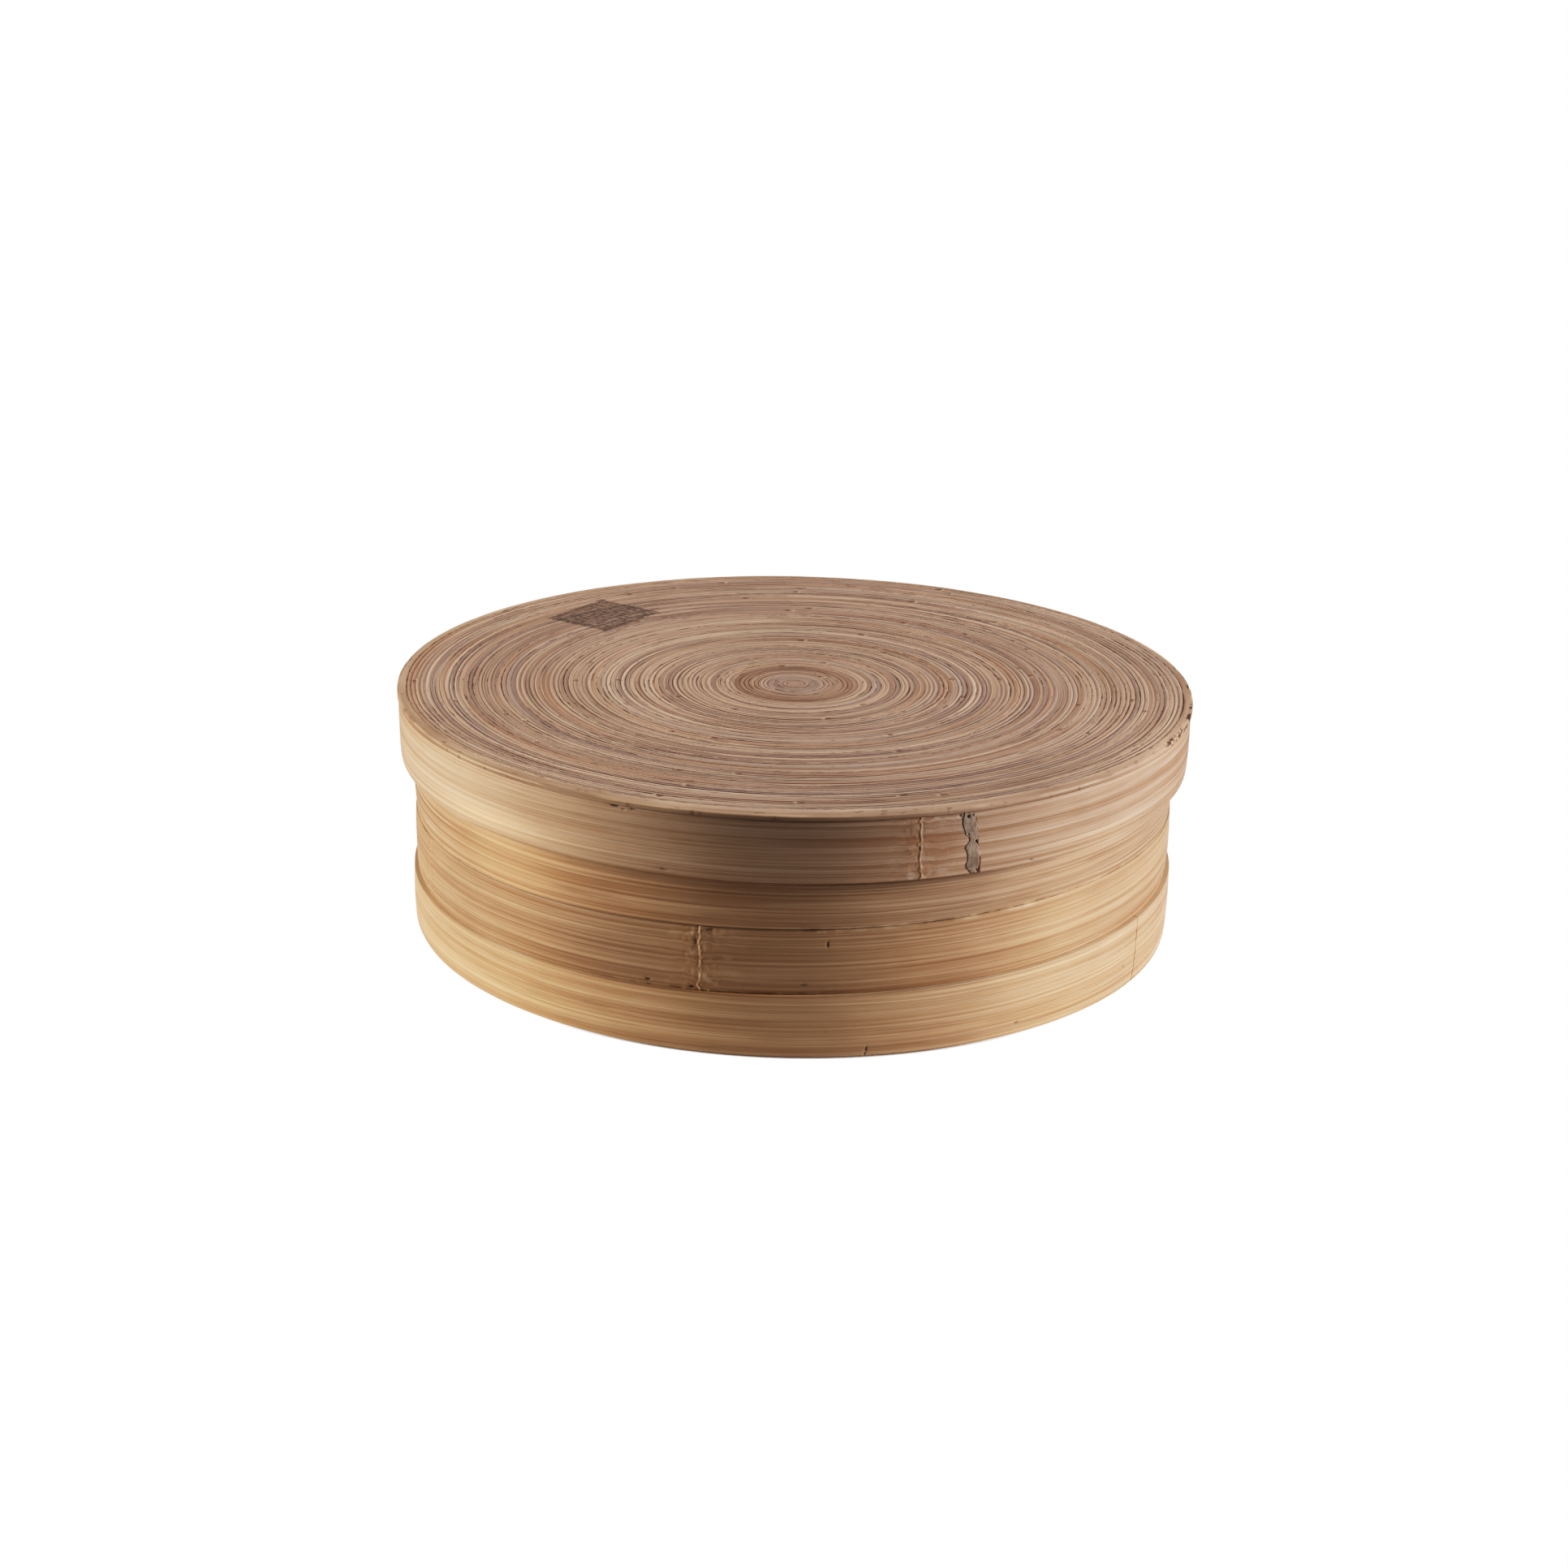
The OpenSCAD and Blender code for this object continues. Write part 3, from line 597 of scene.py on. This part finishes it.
def makeGrain(cellsRound, seed):
    # Smooth random numbers from 0 to 1 over azimuth (radians, wraps round) and any height
    table = np.random.RandomState(seed).rand(cellsRound, 97)

    def grain(azimuth, height):
        a, h = np.broadcast_arrays(np.asarray(azimuth) / (2 * math.pi) * cellsRound, np.asarray(height))
        a0, h0 = np.floor(a).astype(int), np.floor(h).astype(int)
        fa, fh = a - a0, h - h0
        fa, fh = fa * fa * (3 - 2 * fa), fh * fh * (3 - 2 * fh)
        pick = lambda i, j: table[(a0 + i) % cellsRound, (h0 + j) % 97]
        return (pick(0, 0) * (1 - fa) + pick(1, 0) * fa) * (1 - fh) + (pick(0, 1) * (1 - fa) + pick(1, 1) * fa) * fh
    return grain


def bump(distance, width):
    return np.exp(-(distance / width) ** 2)


def step(value, low, high):
    t = np.clip((value - low) / (high - low), 0, 1)
    return t * t * (3 - 2 * t)


# In mm and degrees; azimuths go from the front towards +X. A ridge is (azimuth, strength). A pit, a warm patch and
# a tone patch are (azimuth, height, width, height of the patch, strength), and a worn edge is (from, to, edge,
# strength).
# A tone patch is painted highlight where the lamps' sheen falls and painted shade where its strength is negative,
# partly the hoop's own lighter and darker tone
hoops = {
    "lid_outer_hoop": {
        "piece": "lidHoop", "finish": "lidBamboo", "body": "lid", "thick": 1.7, "crown": 0.5, "topShare": 0.3,
        "joint": 23.85, "gap": 2.9, "slant": -1.3, "leanLow": 0, "leanHigh": 0, "seed": 11,
        "ridges": [(16.7, 1.0), (142.0, 0.8), (232.0, 0.9)],
        "pits": [(-23.3, 18.2, 1.6, 0.45, 0.8), (-20.8, 18.0, 0.9, 0.35, 0.7), (-22.0, 17.7, 0.6, 0.25, 0.5),
                 (21.9, 17.9, 0.5, 0.5, 0.9), (-16.5, 1.6, 1.4, 0.3, 0.5), (33.0, 0.9, 0.8, 0.3, 0.6)],
        "warmth": [(19.8, 9.0, 5.5, 5.0, 0.40), (8.0, 12.5, 22.0, 2.2, 0.35), (10.0, 4.0, 15.0, 1.6, 0.30),
                   (-30.0, 10.0, 18.0, 1.5, 0.2)],
        "paintedLightAndTonePatches": [(-44.0, 4.0, 26.0, 3.2, 0.45), (-50.0, 12.0, 45.0, 20.0, 0.16), (45.0, 2.5, 22.0, 2.5, 0.22),
                  (-75.0, 9.0, 25.0, 30.0, 0.10), (0.0, 15.0, 60.0, 3.5, -0.12)],
        "worn": []},
    "upper_hoop": {
        "piece": "upperHoop", "finish": "upperBamboo", "body": "basket", "thick": 2.7, "crown": 0.5, "topShare": 0.4,
        "joint": 255.0, "gap": 0.12, "slant": 0, "leanLow": 1, "leanHigh": 0, "seed": 23,
        "ridges": [(196.0, 0.9), (-112.0, 0.8)],
        "pits": [(10.4, 16.0, 0.5, 0.35, 0.8), (9.0, 15.9, 0.6, 0.3, 0.6)],
        "warmth": [(-20.0, 2.0, 25.0, 2.0, 0.25)],
        "paintedLightAndTonePatches": [(-42.0, 9.0, 22.0, 30.0, 0.34), (24.0, 9.0, 25.0, 30.0, -0.18), (64.0, 9.0, 40.0, 30.0, -0.16)],
        "worn": [(0.0, 62.0, "low", 0.75), (-64.0, -48.0, "low", 0.3), (70.0, 100.0, "low", 0.4)]},
    "middle_hoop": {
        "piece": "middleHoop", "finish": "middleBamboo", "body": "basket", "thick": 2.7, "crown": 0.5, "topShare": 0.4,
        "joint": 170.0, "gap": 0.12, "slant": 0, "leanLow": 1, "leanHigh": 1, "seed": 37,
        "ridges": [(-12.0, 1.15), (-67.0, 0.55), (118.0, 0.9), (222.0, 0.8)],
        "pits": [(5.1, 15.6, 0.35, 0.9, 0.9), (-19.5, 0.9, 1.0, 0.4, 1.0), (-13.2, 0.7, 1.0, 0.4, 1.0),
                 (2.0, 3.0, 1.1, 0.5, 0.55),
                 (-12.6, 14.6, 0.5, 1.6, 0.55), (-10.8, 18.6, 1.2, 0.4, 0.7)],
        "warmth": [(-42.0, 17.0, 30.0, 2.2, 0.35), (60.0, 1.5, 30.0, 1.6, 0.45), (18.0, 1.5, 30.0, 1.4, 0.35),
                   (25.0, 8.0, 20.0, 2.0, 0.18)],
        "paintedLightAndTonePatches": [(-24.0, 9.0, 22.0, 30.0, -0.24), (40.0, 9.0, 22.0, 30.0, 0.18), (-56.0, 9.0, 20.0, 30.0, -0.10)],
        "worn": [(-24.0, 4.0, "low", 0.9), (2.0, 40.0, "high", 0.5)]},
    "lower_hoop": {
        "piece": "footHoop", "finish": "footBamboo", "body": "basket", "thick": 3.7, "crown": 0.5, "topShare": 0.3,
        "joint": 59.8, "gap": 0.22, "slant": 0.5, "leanLow": 0, "leanHigh": 1, "seed": 53,
        "ridges": [(-148.0, 0.8), (128.0, 0.9)],
        "pits": [(10.6, 2.2, 0.35, 0.8, 0.9), (10.4, 0.9, 0.3, 0.5, 0.6), (33.0, 3.6, 0.9, 0.4, 0.5),
                 (5.0, 8.0, 0.4, 0.25, 0.5),
                 (-4.0, 6.0, 0.4, 0.25, 0.4), (56.0, 7.5, 0.7, 0.3, 0.5)],
        "warmth": [(14.0, 4.5, 14.0, 2.2, 0.22), (22.0, 2.6, 10.0, 1.6, 0.25), (-30.0, 16.0, 25.0, 2.0, 0.2)],
        "paintedLightAndTonePatches": [(-40.0, 9.0, 24.0, 30.0, 0.16), (38.0, 9.0, 26.0, 30.0, 0.20)],
        "worn": []},
}


def ringMesh(name, loops, finish, body, replaced, marks=None, closedRing=False):
    # loops: columns of (x, y, z) points in mm round the ring; each column is one closed cross-section
    columns, count = loops.shape[:2]
    mesh = bpy.data.meshes.new(name)
    index = np.arange(columns * count).reshape(columns, count)
    last = columns if closedRing else columns - 1
    here, there = index[np.arange(last)], index[(np.arange(last) + 1) % columns]
    quads = np.stack([here, np.roll(here, -1, 1), np.roll(there, -1, 1), there], -1).reshape(-1, 4)
    faces = quads.tolist()
    if not closedRing:
        faces += [index[0][::-1].tolist(), index[-1].tolist()]
    mesh.from_pydata((loops.reshape(-1, 3) * mm).tolist(), [], faces)
    for key in markNames:
        values = (marks or {}).get(key)
        layer = mesh.attributes.new(key, "FLOAT", "POINT")
        if values is not None:
            # The painted highlight and shade mark may go below zero, where it darkens
            layer.data.foreach_set("value", np.clip(values, -1 if key == "lift" else 0, 1).astype(np.float32).ravel())
    caps = 0 if closedRing else 2
    mesh.polygons.foreach_set("use_smooth", [True] * (len(faces) - caps) + [False] * caps)
    mesh.materials.append(finishes[finish])
    shape = bmesh.new()
    shape.from_mesh(mesh)
    if shape.calc_volume(signed=True) < 0:  # the loop ran the other way round, so the faces point inwards
        mesh.flip_normals()
    shape.free()
    mesh.update()
    piece = bpy.data.objects.new(name, mesh)
    scene.collection.objects.link(piece)
    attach(piece, body)
    for node in replaced:
        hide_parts(node)
    return piece


def around(azimuth, radius):
    return radius * np.sin(azimuth), -radius * np.cos(azimuth)


def hoopSink(plan, rows):
    # How far a hoop's face lies inside its widest radius, from its bottom (-1) to its top (1)
    crown = plan["crown"] * np.where(rows > 0, plan.get("topShare", 1.0), 1.0)
    return crown * rows ** 2 + 0.12 * step(abs(rows), 0.965, 1.0) * np.where(rows > 0, plan.get("topShare", 1.0), 1.0)


def makeHoop(node, plan):
    low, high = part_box(node)[0].z / mm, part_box(node)[1].z / mm
    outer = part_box(node)[1].x / mm
    grainA, grainB, grainC = (makeGrain(cells, plan["seed"] + k) for k, cells in enumerate((36, 90, 420)))
    # Columns lie closer together near the ridges, the dark marks and the joint
    joint = math.radians(plan["joint"])
    spots = [math.radians(r[0]) for r in plan["ridges"]] + [math.radians(p[0]) for p in plan["pits"]]
    coarse = np.linspace(0, 2 * math.pi, 541)
    fine = [((spot - joint) % (2 * math.pi)) + np.arange(-14, 15) * 0.22 / outer for spot in spots]
    ends = np.arange(0, 18) * 0.25 / outer
    columns = np.unique(np.round(np.clip(np.concatenate([coarse, *fine, ends, 2 * math.pi - ends]), 0, 2 * math.pi), 5))
    rows = np.sin(np.linspace(-1, 1, 47) * math.pi / 2)
    # Joint faces: each end of the strip wanders a little from top to bottom
    heightShare = (rows + 1) / 2
    slant = math.radians(plan["slant"]) * (heightShare - 0.5)
    jag = lambda k: (grainB(k * 1.7, heightShare * 9) - 0.5) * min(plan["gap"], 1.6) / outer
    startLine = joint + slant + plan["gap"] / 2 / outer + jag(1)
    endLine = joint + slant + 2 * math.pi - plan["gap"] / 2 / outer + jag(2)
    share = columns[:, None] / (2 * math.pi)
    azimuth = startLine[None] * (1 - share) + endLine[None] * share
    east = outer * np.sin(azimuth)
    bottom, top = low + plan["leanLow"] * lean * east, high + plan["leanHigh"] * lean * east
    z = bottom + (top - bottom) * heightShare[None]
    up = z - low
    body = outer - hoopSink(plan, rows[None])
    wave = grainA(azimuth, z * 0.16) * 0.16 + grainB(azimuth, z * 0.8) * 0.06 + grainC(azimuth, z * 2.2) * 0.03
    body = body - wave
    marks = {key: np.zeros_like(z) for key in markNames}

    def arcFrom(degrees):
        return (np.mod(azimuth - math.radians(degrees) + math.pi, 2 * math.pi) - math.pi) * outer

    for where, strength in plan["ridges"]:
        wriggle = (grainB(0.3 + where, z * 0.45) - 0.5) * 1.3 + (grainB(1.1 + where, z * 1.4) - 0.5) * 1.0
        away = arcFrom(where) - wriggle
        body = body + strength * (0.12 * bump(away, 0.24) - 0.05 * bump(away + 0.6, 0.35) + 0.12 * bump(away, 6.0))
        body = body + strength * bump(away, 9.0) * (grainC(azimuth * 2, z * 1.4) - 0.5) * 0.14
        torn = step(grainB(azimuth, z * 1.6), 0.25, 0.6)
        marks["ridge"] += 0.80 * strength * bump(away, 0.24) * (0.30 + 0.70 * torn)
        marks["knot"] += strength * bump(away, 7.5)
        marks["dark"] += 0.45 * strength * bump(away + 0.50, 0.24) * step(grainB(azimuth, z * 1.1 + 3), 0.30, 0.65)
        beside = 0.40 * np.exp(np.minimum(away, 0) / 7.0) * (away < 0) + 0.22 * bump(away - 2.5, 3.0)
        marks["warm"] += strength * beside * (0.55 + 0.45 * torn)
    for where, height, wide, tall, strength in plan["pits"]:
        spot = bump(arcFrom(where), wide) * bump(up - height - (grainC(azimuth, up) - 0.5) * 0.5, tall)
        marks["pit"] += strength * step(spot, 0.25, 0.8)
        body = body - 0.18 * spot
    for where, height, wide, tall, strength in plan["warmth"]:
        marks["warm"] += strength * bump(arcFrom(where), wide) * bump(up - height, tall)
    # Painted highlight where the lamps' sheen falls, painted shade where the strength is negative, partly the hoop's
    # own tone
    for where, height, wide, tall, strength in plan["paintedLightAndTonePatches"]:
        marks["lift"] += strength * bump(arcFrom(where), wide) * bump(up - height, tall)
    for start, end, edge, strength in plan["worn"]:
        degrees = np.mod(np.degrees(azimuth) + 180, 360) - 180
        inRange = step(degrees, start - 2, start + 2) * (1 - step(degrees, end - 2, end + 2))
        gapMM = (z - bottom) if edge == "low" else (top - z)
        chipped = step(grainC(azimuth * 1.3, 7.0), 0.35, 0.7)
        marks["pale"] += strength * inRange * bump(gapMM - 0.35, 0.42) * (0.35 + 0.65 * chipped)
        marks["dark"] += strength * inRange * bump(gapMM - 0.05, 0.32) * step(grainC(azimuth * 0.7 + 2, 3.0), 0.45, 0.75)
        body = body - 0.22 * inRange * strength * bump(gapMM, 0.5) * chipped
    # A thin dark line where one hoop meets the next
    marks["dark"] += 0.5 * bump(z - bottom, 0.16) * (plan["leanLow"] > 0)
    marks["dark"] += 0.6 * bump(top - z, 0.22) * (plan["leanHigh"] > 0)
    inner = outer - plan["thick"]
    px, py = around(azimuth, body)
    face = np.stack([px, py, z], -1)
    back = []
    innerRows = [1.0, 0.5, 0.0] if node != "lower_hoop" else [1.0, 10.5 / high, 10.5 / high, 0.0]
    for k, share in enumerate(innerRows):
        edge = azimuth[:, -1] if share == 1.0 else azimuth[:, 0] if share == 0.0 else azimuth[:, len(rows) // 2]
        ground, crest = (bottom[:, 0], top[:, -1])
        radius = inner + (0.2 if node == "lower_hoop" and k > 1 else 0.0)
        bx, by = around(edge, radius)
        back.append(np.stack([bx, by, ground + (crest - ground) * share], -1))
    loops = np.concatenate([face, np.stack(back, 1)], 1)
    pad = lambda values: np.concatenate([values, np.zeros((len(columns), len(innerRows)))], 1)
    padded = {key: pad(values) for key, values in marks.items()}
    return ringMesh(plan["piece"], loops, plan["finish"], plan["body"], [node], padded)


for node, plan in hoops.items():
    makeHoop(node, plan)

print("filler and edge strip")
filler = {  # mm
    "spread": 0.10, "proud": 0.03, "sunk": 0.9, "rows": 60, "across": 15, "seed": 71,
    # height, shift from the middle, width and height of each dark pit
    "pits": [(17.3, -0.6, 0.45, 0.6), (0.9, 0.5, 0.40, 0.45), (17.6, 0.9, 0.3, 0.35), (12.0, -1.2, 0.25, 0.3)],
}


def makeFiller():
    plan = hoops["lid_outer_hoop"]
    low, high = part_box("lid_outer_hoop")[0].z / mm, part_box("lid_outer_hoop")[1].z / mm
    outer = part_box("lid_outer_hoop")[1].x / mm
    grain, coarse = makeGrain(400, filler["seed"]), makeGrain(60, filler["seed"] + 1)
    rows = np.linspace(-0.985, 0.985, filler["rows"])
    share = (rows + 1) / 2
    middle = math.radians(plan["joint"]) + math.radians(plan["slant"]) * (share - 0.5)
    half = plan["gap"] / 2 + filler["spread"]
    left = middle - (half + (coarse(0.3, share * 7) - 0.5) * 2.6 + (coarse(0.9, share * 23) - 0.5) * 0.8) / outer
    right = middle + (half + (coarse(1.6, share * 6) - 0.5) * 2.4 + (coarse(2.2, share * 21) - 0.5) * 0.8) / outer
    t = np.linspace(0, 1, filler["across"])
    azimuth = left[:, None] * (1 - t) + right[:, None] * t
    z = low + (high - low) * share[:, None] + np.zeros_like(azimuth)
    body = outer - hoopSink(plan, rows[:, None])
    edge = np.minimum(t, 1 - t)[None] * 2
    lumps = grain(azimuth * 6, z * 1.1) * 0.08
    front = body + filler["proud"] * step(edge, 0.0, 0.5) - lumps
    pit = np.zeros_like(z)
    for height, shift, wide, tall in filler["pits"]:
        away = (azimuth - middle[:, None]) * outer - shift
        spot = bump(away, wide) * bump(z - low - height, tall)
        pit += step(spot, 0.2, 0.7)
        front = front - 0.35 * spot
    px, py = around(azimuth, front)
    face = np.stack([px, py, z], -1)
    bx, by = around(azimuth[:, ::-1], body[:, ::-1] - filler["sunk"])
    rear = np.stack([bx, by, z[:, ::-1]], -1)
    loops = np.concatenate([face, rear], 1)
    marks = {"pit": np.concatenate([pit, np.zeros_like(pit)], 1)}
    return ringMesh("jointFiller", loops, "jointFiller", "lid", ["lid_joint_filler"], marks)


makeFiller()

edgeStrip = {  # mm
    "crown": 0.15, "round": 0.18, "sagFront": 1.35, "sagBack": 0.2, "columns": 720, "seed": 83,
    "bark": [(62, 100, 0.9), (118, 131, 0.6), (-160, -149, 0.7), (-98, -90, 0.5)],  # degrees from and to, strength
}


def makeEdgeStrip():
    low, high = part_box("lid_edge_strip")[0].z / mm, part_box("lid_edge_strip")[1].z / mm
    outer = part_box("lid_edge_strip")[1].x / mm
    inner = coil["outer"] + coil["glue"]
    grainA, grainB = makeGrain(60, edgeStrip["seed"]), makeGrain(500, edgeStrip["seed"] + 1)
    azimuth = np.linspace(0, 2 * math.pi, edgeStrip["columns"], endpoint=False)
    rows = np.linspace(-1, 1, 17)
    faceR = outer - edgeStrip["crown"] * np.maximum(-rows, 0) ** 2
    faceR = faceR - edgeStrip["round"] * np.clip((rows - 0.8) / 0.2, 0, 1) ** 2
    faceZ = low + (high - low) * (rows + 1) / 2
    topR = np.linspace(faceR[-1] - 0.1, inner, 9)
    sectionR = np.concatenate([faceR, topR, [inner]])
    sectionZ = np.concatenate([faceZ, np.full(9, high), [low]])
    a = azimuth[:, None]
    z = sectionZ[None] + np.zeros_like(a)
    sag = edgeStrip["sagBack"] + (edgeStrip["sagFront"] - edgeStrip["sagBack"]) * step(np.cos(a), 0.1, 0.9)
    z = z - sag * np.clip((sectionR[None] - inner) / (outer - inner), 0, 1) ** 1.5 * (z - low) / (high - low)
    nearTop = step(z, low + 0.6, high - 0.3)
    r = sectionR[None] - (grainA(a, sectionR * 0.8) * 0.08 + grainB(a, z * 1.4) * 0.05) * (sectionR[None] > inner + 0.1)
    z = z - nearTop * (grainA(a, sectionR * 1.3 + 5) * 0.10 + grainB(a, sectionR * 1.6 + 9) * 0.05)
    marks = {key: np.zeros_like(z) for key in ("pale", "dark")}
    degrees = np.mod(np.degrees(a) + 180, 360) - 180
    for start, end, strength in edgeStrip["bark"]:
        inRange = step(degrees, start - 2, start + 2) * (1 - step(degrees, end - 2, end + 2))
        rough = step(grainB(a * 0.8, z * 0.9), 0.42, 0.62)
        marks["dark"] += strength * inRange * rough * step(sectionR[None], outer - 1.3, outer - 0.5)
        r = r - 0.25 * inRange * rough * strength * step(sectionR[None], outer - 1.3, outer - 0.5)
    marks["dark"] += 0.8 * bump(sectionR[None] - inner, 0.22) * (0.45 + 0.55 * step(grainB(a, 2.0), 0.3, 0.6))
    # A painted highlight: a pale broken line along the strip's outer top edge
    paintedRimHighlight = bump(sectionR[None] - (outer - 0.3), 0.3) * (sectionZ[None] > high - 0.6)
    marks["pale"] += 0.6 * paintedRimHighlight * step(grainA(a * 1.7, 3.0), 0.40, 0.7)
    px, py = around(a, r)
    return ringMesh("lidEdge", np.stack([px, py, z], -1), "edgeBamboo", "lid",
                    ["lid_edge_strip"], marks, closedRing=True)


makeEdgeStrip()

print("floor slats and pins")
slats = {"count": 18, "wide": 9.0, "endGap": 0.3, "round": 0.35, "crown": 0.22}  # mm
slatLow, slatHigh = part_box("floor_slat_1")[0].z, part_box("floor_slat_1")[1].z
wallInside = 115.6  # mm
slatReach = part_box("floor_slat_18")[1].y


def makeSlatTree():
    b, given = growTree("floorSlats", {
        "count": 18, "wide": 0.009, "reach": 0.11, "endRadius": 0.115, "low": 0.015, "high": 0.017,
        "round": 0.0003, "crown": 0.0002, "finish": None})
    pitch = (given["reach"] * 2 - given["wide"]) / (given["count"] - 1)
    line = b.node("GeometryNodeMeshLine", None, {"Count": given["count"]})
    number = b.node("GeometryNodeInputIndex")
    line = b.node("GeometryNodeSetPosition", None, {
        "Geometry": line, "Position": b.point(0.0, given["wide"] / 2 - given["reach"] + number * pitch, 0.0)})
    slab = b.node("GeometryNodeMeshCube", None, {"Size": (1, 1, 1), "Vertices X": 41, "Vertices Y": 8, "Vertices Z": 2})
    placed = b.node("GeometryNodeInstanceOnPoints", None, {"Points": line, "Instance": slab})
    placed = b.node("GeometryNodeRealizeInstances", None, [placed])
    x, y, z = b.split(b.node("GeometryNodeInputPosition"))
    # Each slab is one unit wide, far more than the pitch, so its own middle comes from its vertex numbers
    each = 41 * 8 * 2
    own = (number / each).math("FLOOR", number / each)
    middle = given["wide"] / 2 - given["reach"] + own * pitch
    u, v, w = x * 2, (y - middle) * 2, z * 2
    flat = given["wide"] / 2
    vSide = v.math("SIGN", v) * (abs(v) ** 0.6)
    across = middle + vSide * flat
    ended = (given["endRadius"] * given["endRadius"] - across * across)
    lengthHere = ended.math("MAXIMUM", ended, 0.0) ** 0.5
    along = u * lengthHere
    atEdge = abs(v) > 0.99
    rise = given["crown"] * (1 - v * v) * (0.4 + 0.6 * b.noise(b.point(along * 30, own * 7.3, 1.0), 1, 1))
    upper = w > 0
    node = b.noise(b.point(own * 3.7, 0.0, 8.0), 1, 0) * 0.12 - 0.06
    jointGap = abs(along - node)
    jointRise = (1 - b.smooth(jointGap, 0.0, 0.004)) * 0.00012
    top = given["high"] - given["crown"] + rise - given["round"] * atEdge + jointRise * (1 - atEdge) * (abs(v) < 0.9)
    bottom = given["low"] + given["round"] * atEdge
    height = bottom + (top - bottom) * upper
    height = height.math("MINIMUM", height, given["high"])
    slab = b.node("GeometryNodeSetPosition", None, {"Geometry": placed, "Position": b.point(along, across, height)})
    slab = b.node("GeometryNodeSetShadeSmooth", None, {"Geometry": slab, "Shade Smooth": False})
    endTree(b, slab, given["finish"])
    return b


slatPiece = growPiece("floorSlats", makeSlatTree(), {
    "count": slats["count"], "wide": slats["wide"] * mm, "reach": slatReach,
    "endRadius": (wallInside - slats["endGap"]) * mm, "low": slatLow, "high": slatHigh,
    "round": slats["round"] * mm, "crown": slats["crown"] * mm, "finish": finishes["slatBamboo"]})
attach(slatPiece, "basket")
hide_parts(*[f"floor_slat_{i + 1}" for i in range(slats["count"])])

inside = {
    "innerBamboo": ["inner_wall", "floor_support_ring", "retaining_ring", "lid_inner_hoop", "lid_seat_ring"],
    "pinBamboo": ["slat_pins", "wall_pegs"],
    "barBamboo": ["cross_bar_1", "cross_bar_2", "cross_bar_3"],
}
for finish, names in inside.items():
    for node in names:
        nodes[node].data.materials.clear()
        nodes[node].data.materials.append(finishes[finish])

print("studio")
studio = {  # metres and watts
    "left": {"place": (-1.26, -0.09, 0.46), "size": 0.6, "power": 18.8, "colour": (1.0, 0.92, 0.84)},
    "right": {"place": (1.24, -0.18, 0.46), "size": 0.5, "power": 19.0, "colour": (1.0, 0.95, 0.97)},
    "back": {"place": (0.0, 0.68, 1.21), "size": 0.9, "power": 4.5, "colour": (0.92, 0.94, 1.0)},
}
# How much steeper the picture's middle tones are, and how far bright tones are held back
contrast, shoulder = 0.47, 0.16


def placeLamp(name, plan):
    data = bpy.data.lights.new(name, "AREA")
    data.shape, data.size, data.energy, data.color = "SQUARE", plan["size"], plan["power"], plan["colour"]
    lamp = bpy.data.objects.new(name, data)
    scene.collection.objects.link(lamp)
    lamp.location = plan["place"]
    lamp.rotation_euler = (Vector((0, 0, 0.04)) - Vector(plan["place"])).to_track_quat("-Z", "Y").to_euler()


for name, plan in studio.items():
    placeLamp(name, plan)

table = bpy.data.meshes.new("table")
reach, drop = 9.0, 0.0002  # half the table's width, and how far it lies under the basket
corners = [(-1, -1), (1, -1), (1, 1), (-1, 1)]
table.from_pydata([(x * reach, y * reach, -drop) for x, y in corners], [], [(0, 1, 2, 3)])
tableTop = bpy.data.objects.new("table", table)
scene.collection.objects.link(tableTop)
tableFinish, b = startFinish("tableWhite")
seen = b.node("ShaderNodeLightPath", out="Is Camera Ray")
floorX, floorY, floorZ = b.split(b.node("ShaderNodeTexCoord", out="Object"))
away = (floorX * floorX + floorY * floorY) ** 0.5
bounce = b.smooth(away, 0.14, 0.32, 0.62, 0.04)  # only the table near the basket throws light back on it
matte = b.node("ShaderNodeBsdfDiffuse", None, {"Color": b.point(bounce, bounce * 0.90, bounce * 0.80)})
glow = b.node("ShaderNodeEmission", None, {"Color": (1, 1, 1, 1), "Strength": 1.0})
underneath = b.smooth(away, 0.1185, 0.1203, 0.9, 0.0)
atFront = b.smooth(away, 0.1207, 0.1213, 0.9, 0.0) * b.smooth(floorY, -0.116, -0.096, 1.0, 0.0)
footLine = underneath.math("MAXIMUM", underneath, atFront)  # dark where the foot meets the table
shaded = b.node("ShaderNodeMixShader", None, [footLine, glow, matte])
surface = b.node("ShaderNodeMixShader", None, [seen, matte, shaded])
b.tree.links.new(surface.socket, b.tree.nodes.new("ShaderNodeOutputMaterial").inputs["Surface"])
table.materials.append(tableFinish)

world = bpy.data.worlds.new("studio")
world.use_nodes = True
b = Bench(world.node_tree)
seen = b.node("ShaderNodeLightPath", out="Is Camera Ray")
dim = b.node("ShaderNodeBackground", None, {"Color": (1, 0.97, 0.94, 1), "Strength": 0.01})
bright = b.node("ShaderNodeBackground", None, {"Color": (1, 1, 1, 1), "Strength": 1.0})
sky = b.node("ShaderNodeMixShader", None, [seen, dim, bright])
b.tree.links.new(sky.socket, b.tree.nodes.new("ShaderNodeOutputWorld").inputs["Surface"])
scene.world = world


def placeContrast():
    # A gentle S between black and white, the same for each colour
    toLight = lambda v: v / 12.92 if v <= 0.04045 else ((v + 0.055) / 1.055) ** 2.4
    scene.view_settings.view_transform = "Standard"
    scene.view_settings.use_curve_mapping = True
    mapping = scene.view_settings.curve_mapping
    for tenth in range(1, 10):
        v = tenth / 10
        shaped = v - contrast * math.sin(2 * math.pi * v) / (2 * math.pi) - shoulder * v ** 6 * (1 - v ** 4)
        mapping.curves[3].points.new(toLight(v), toLight(shaped))
    mapping.update()


placeContrast()
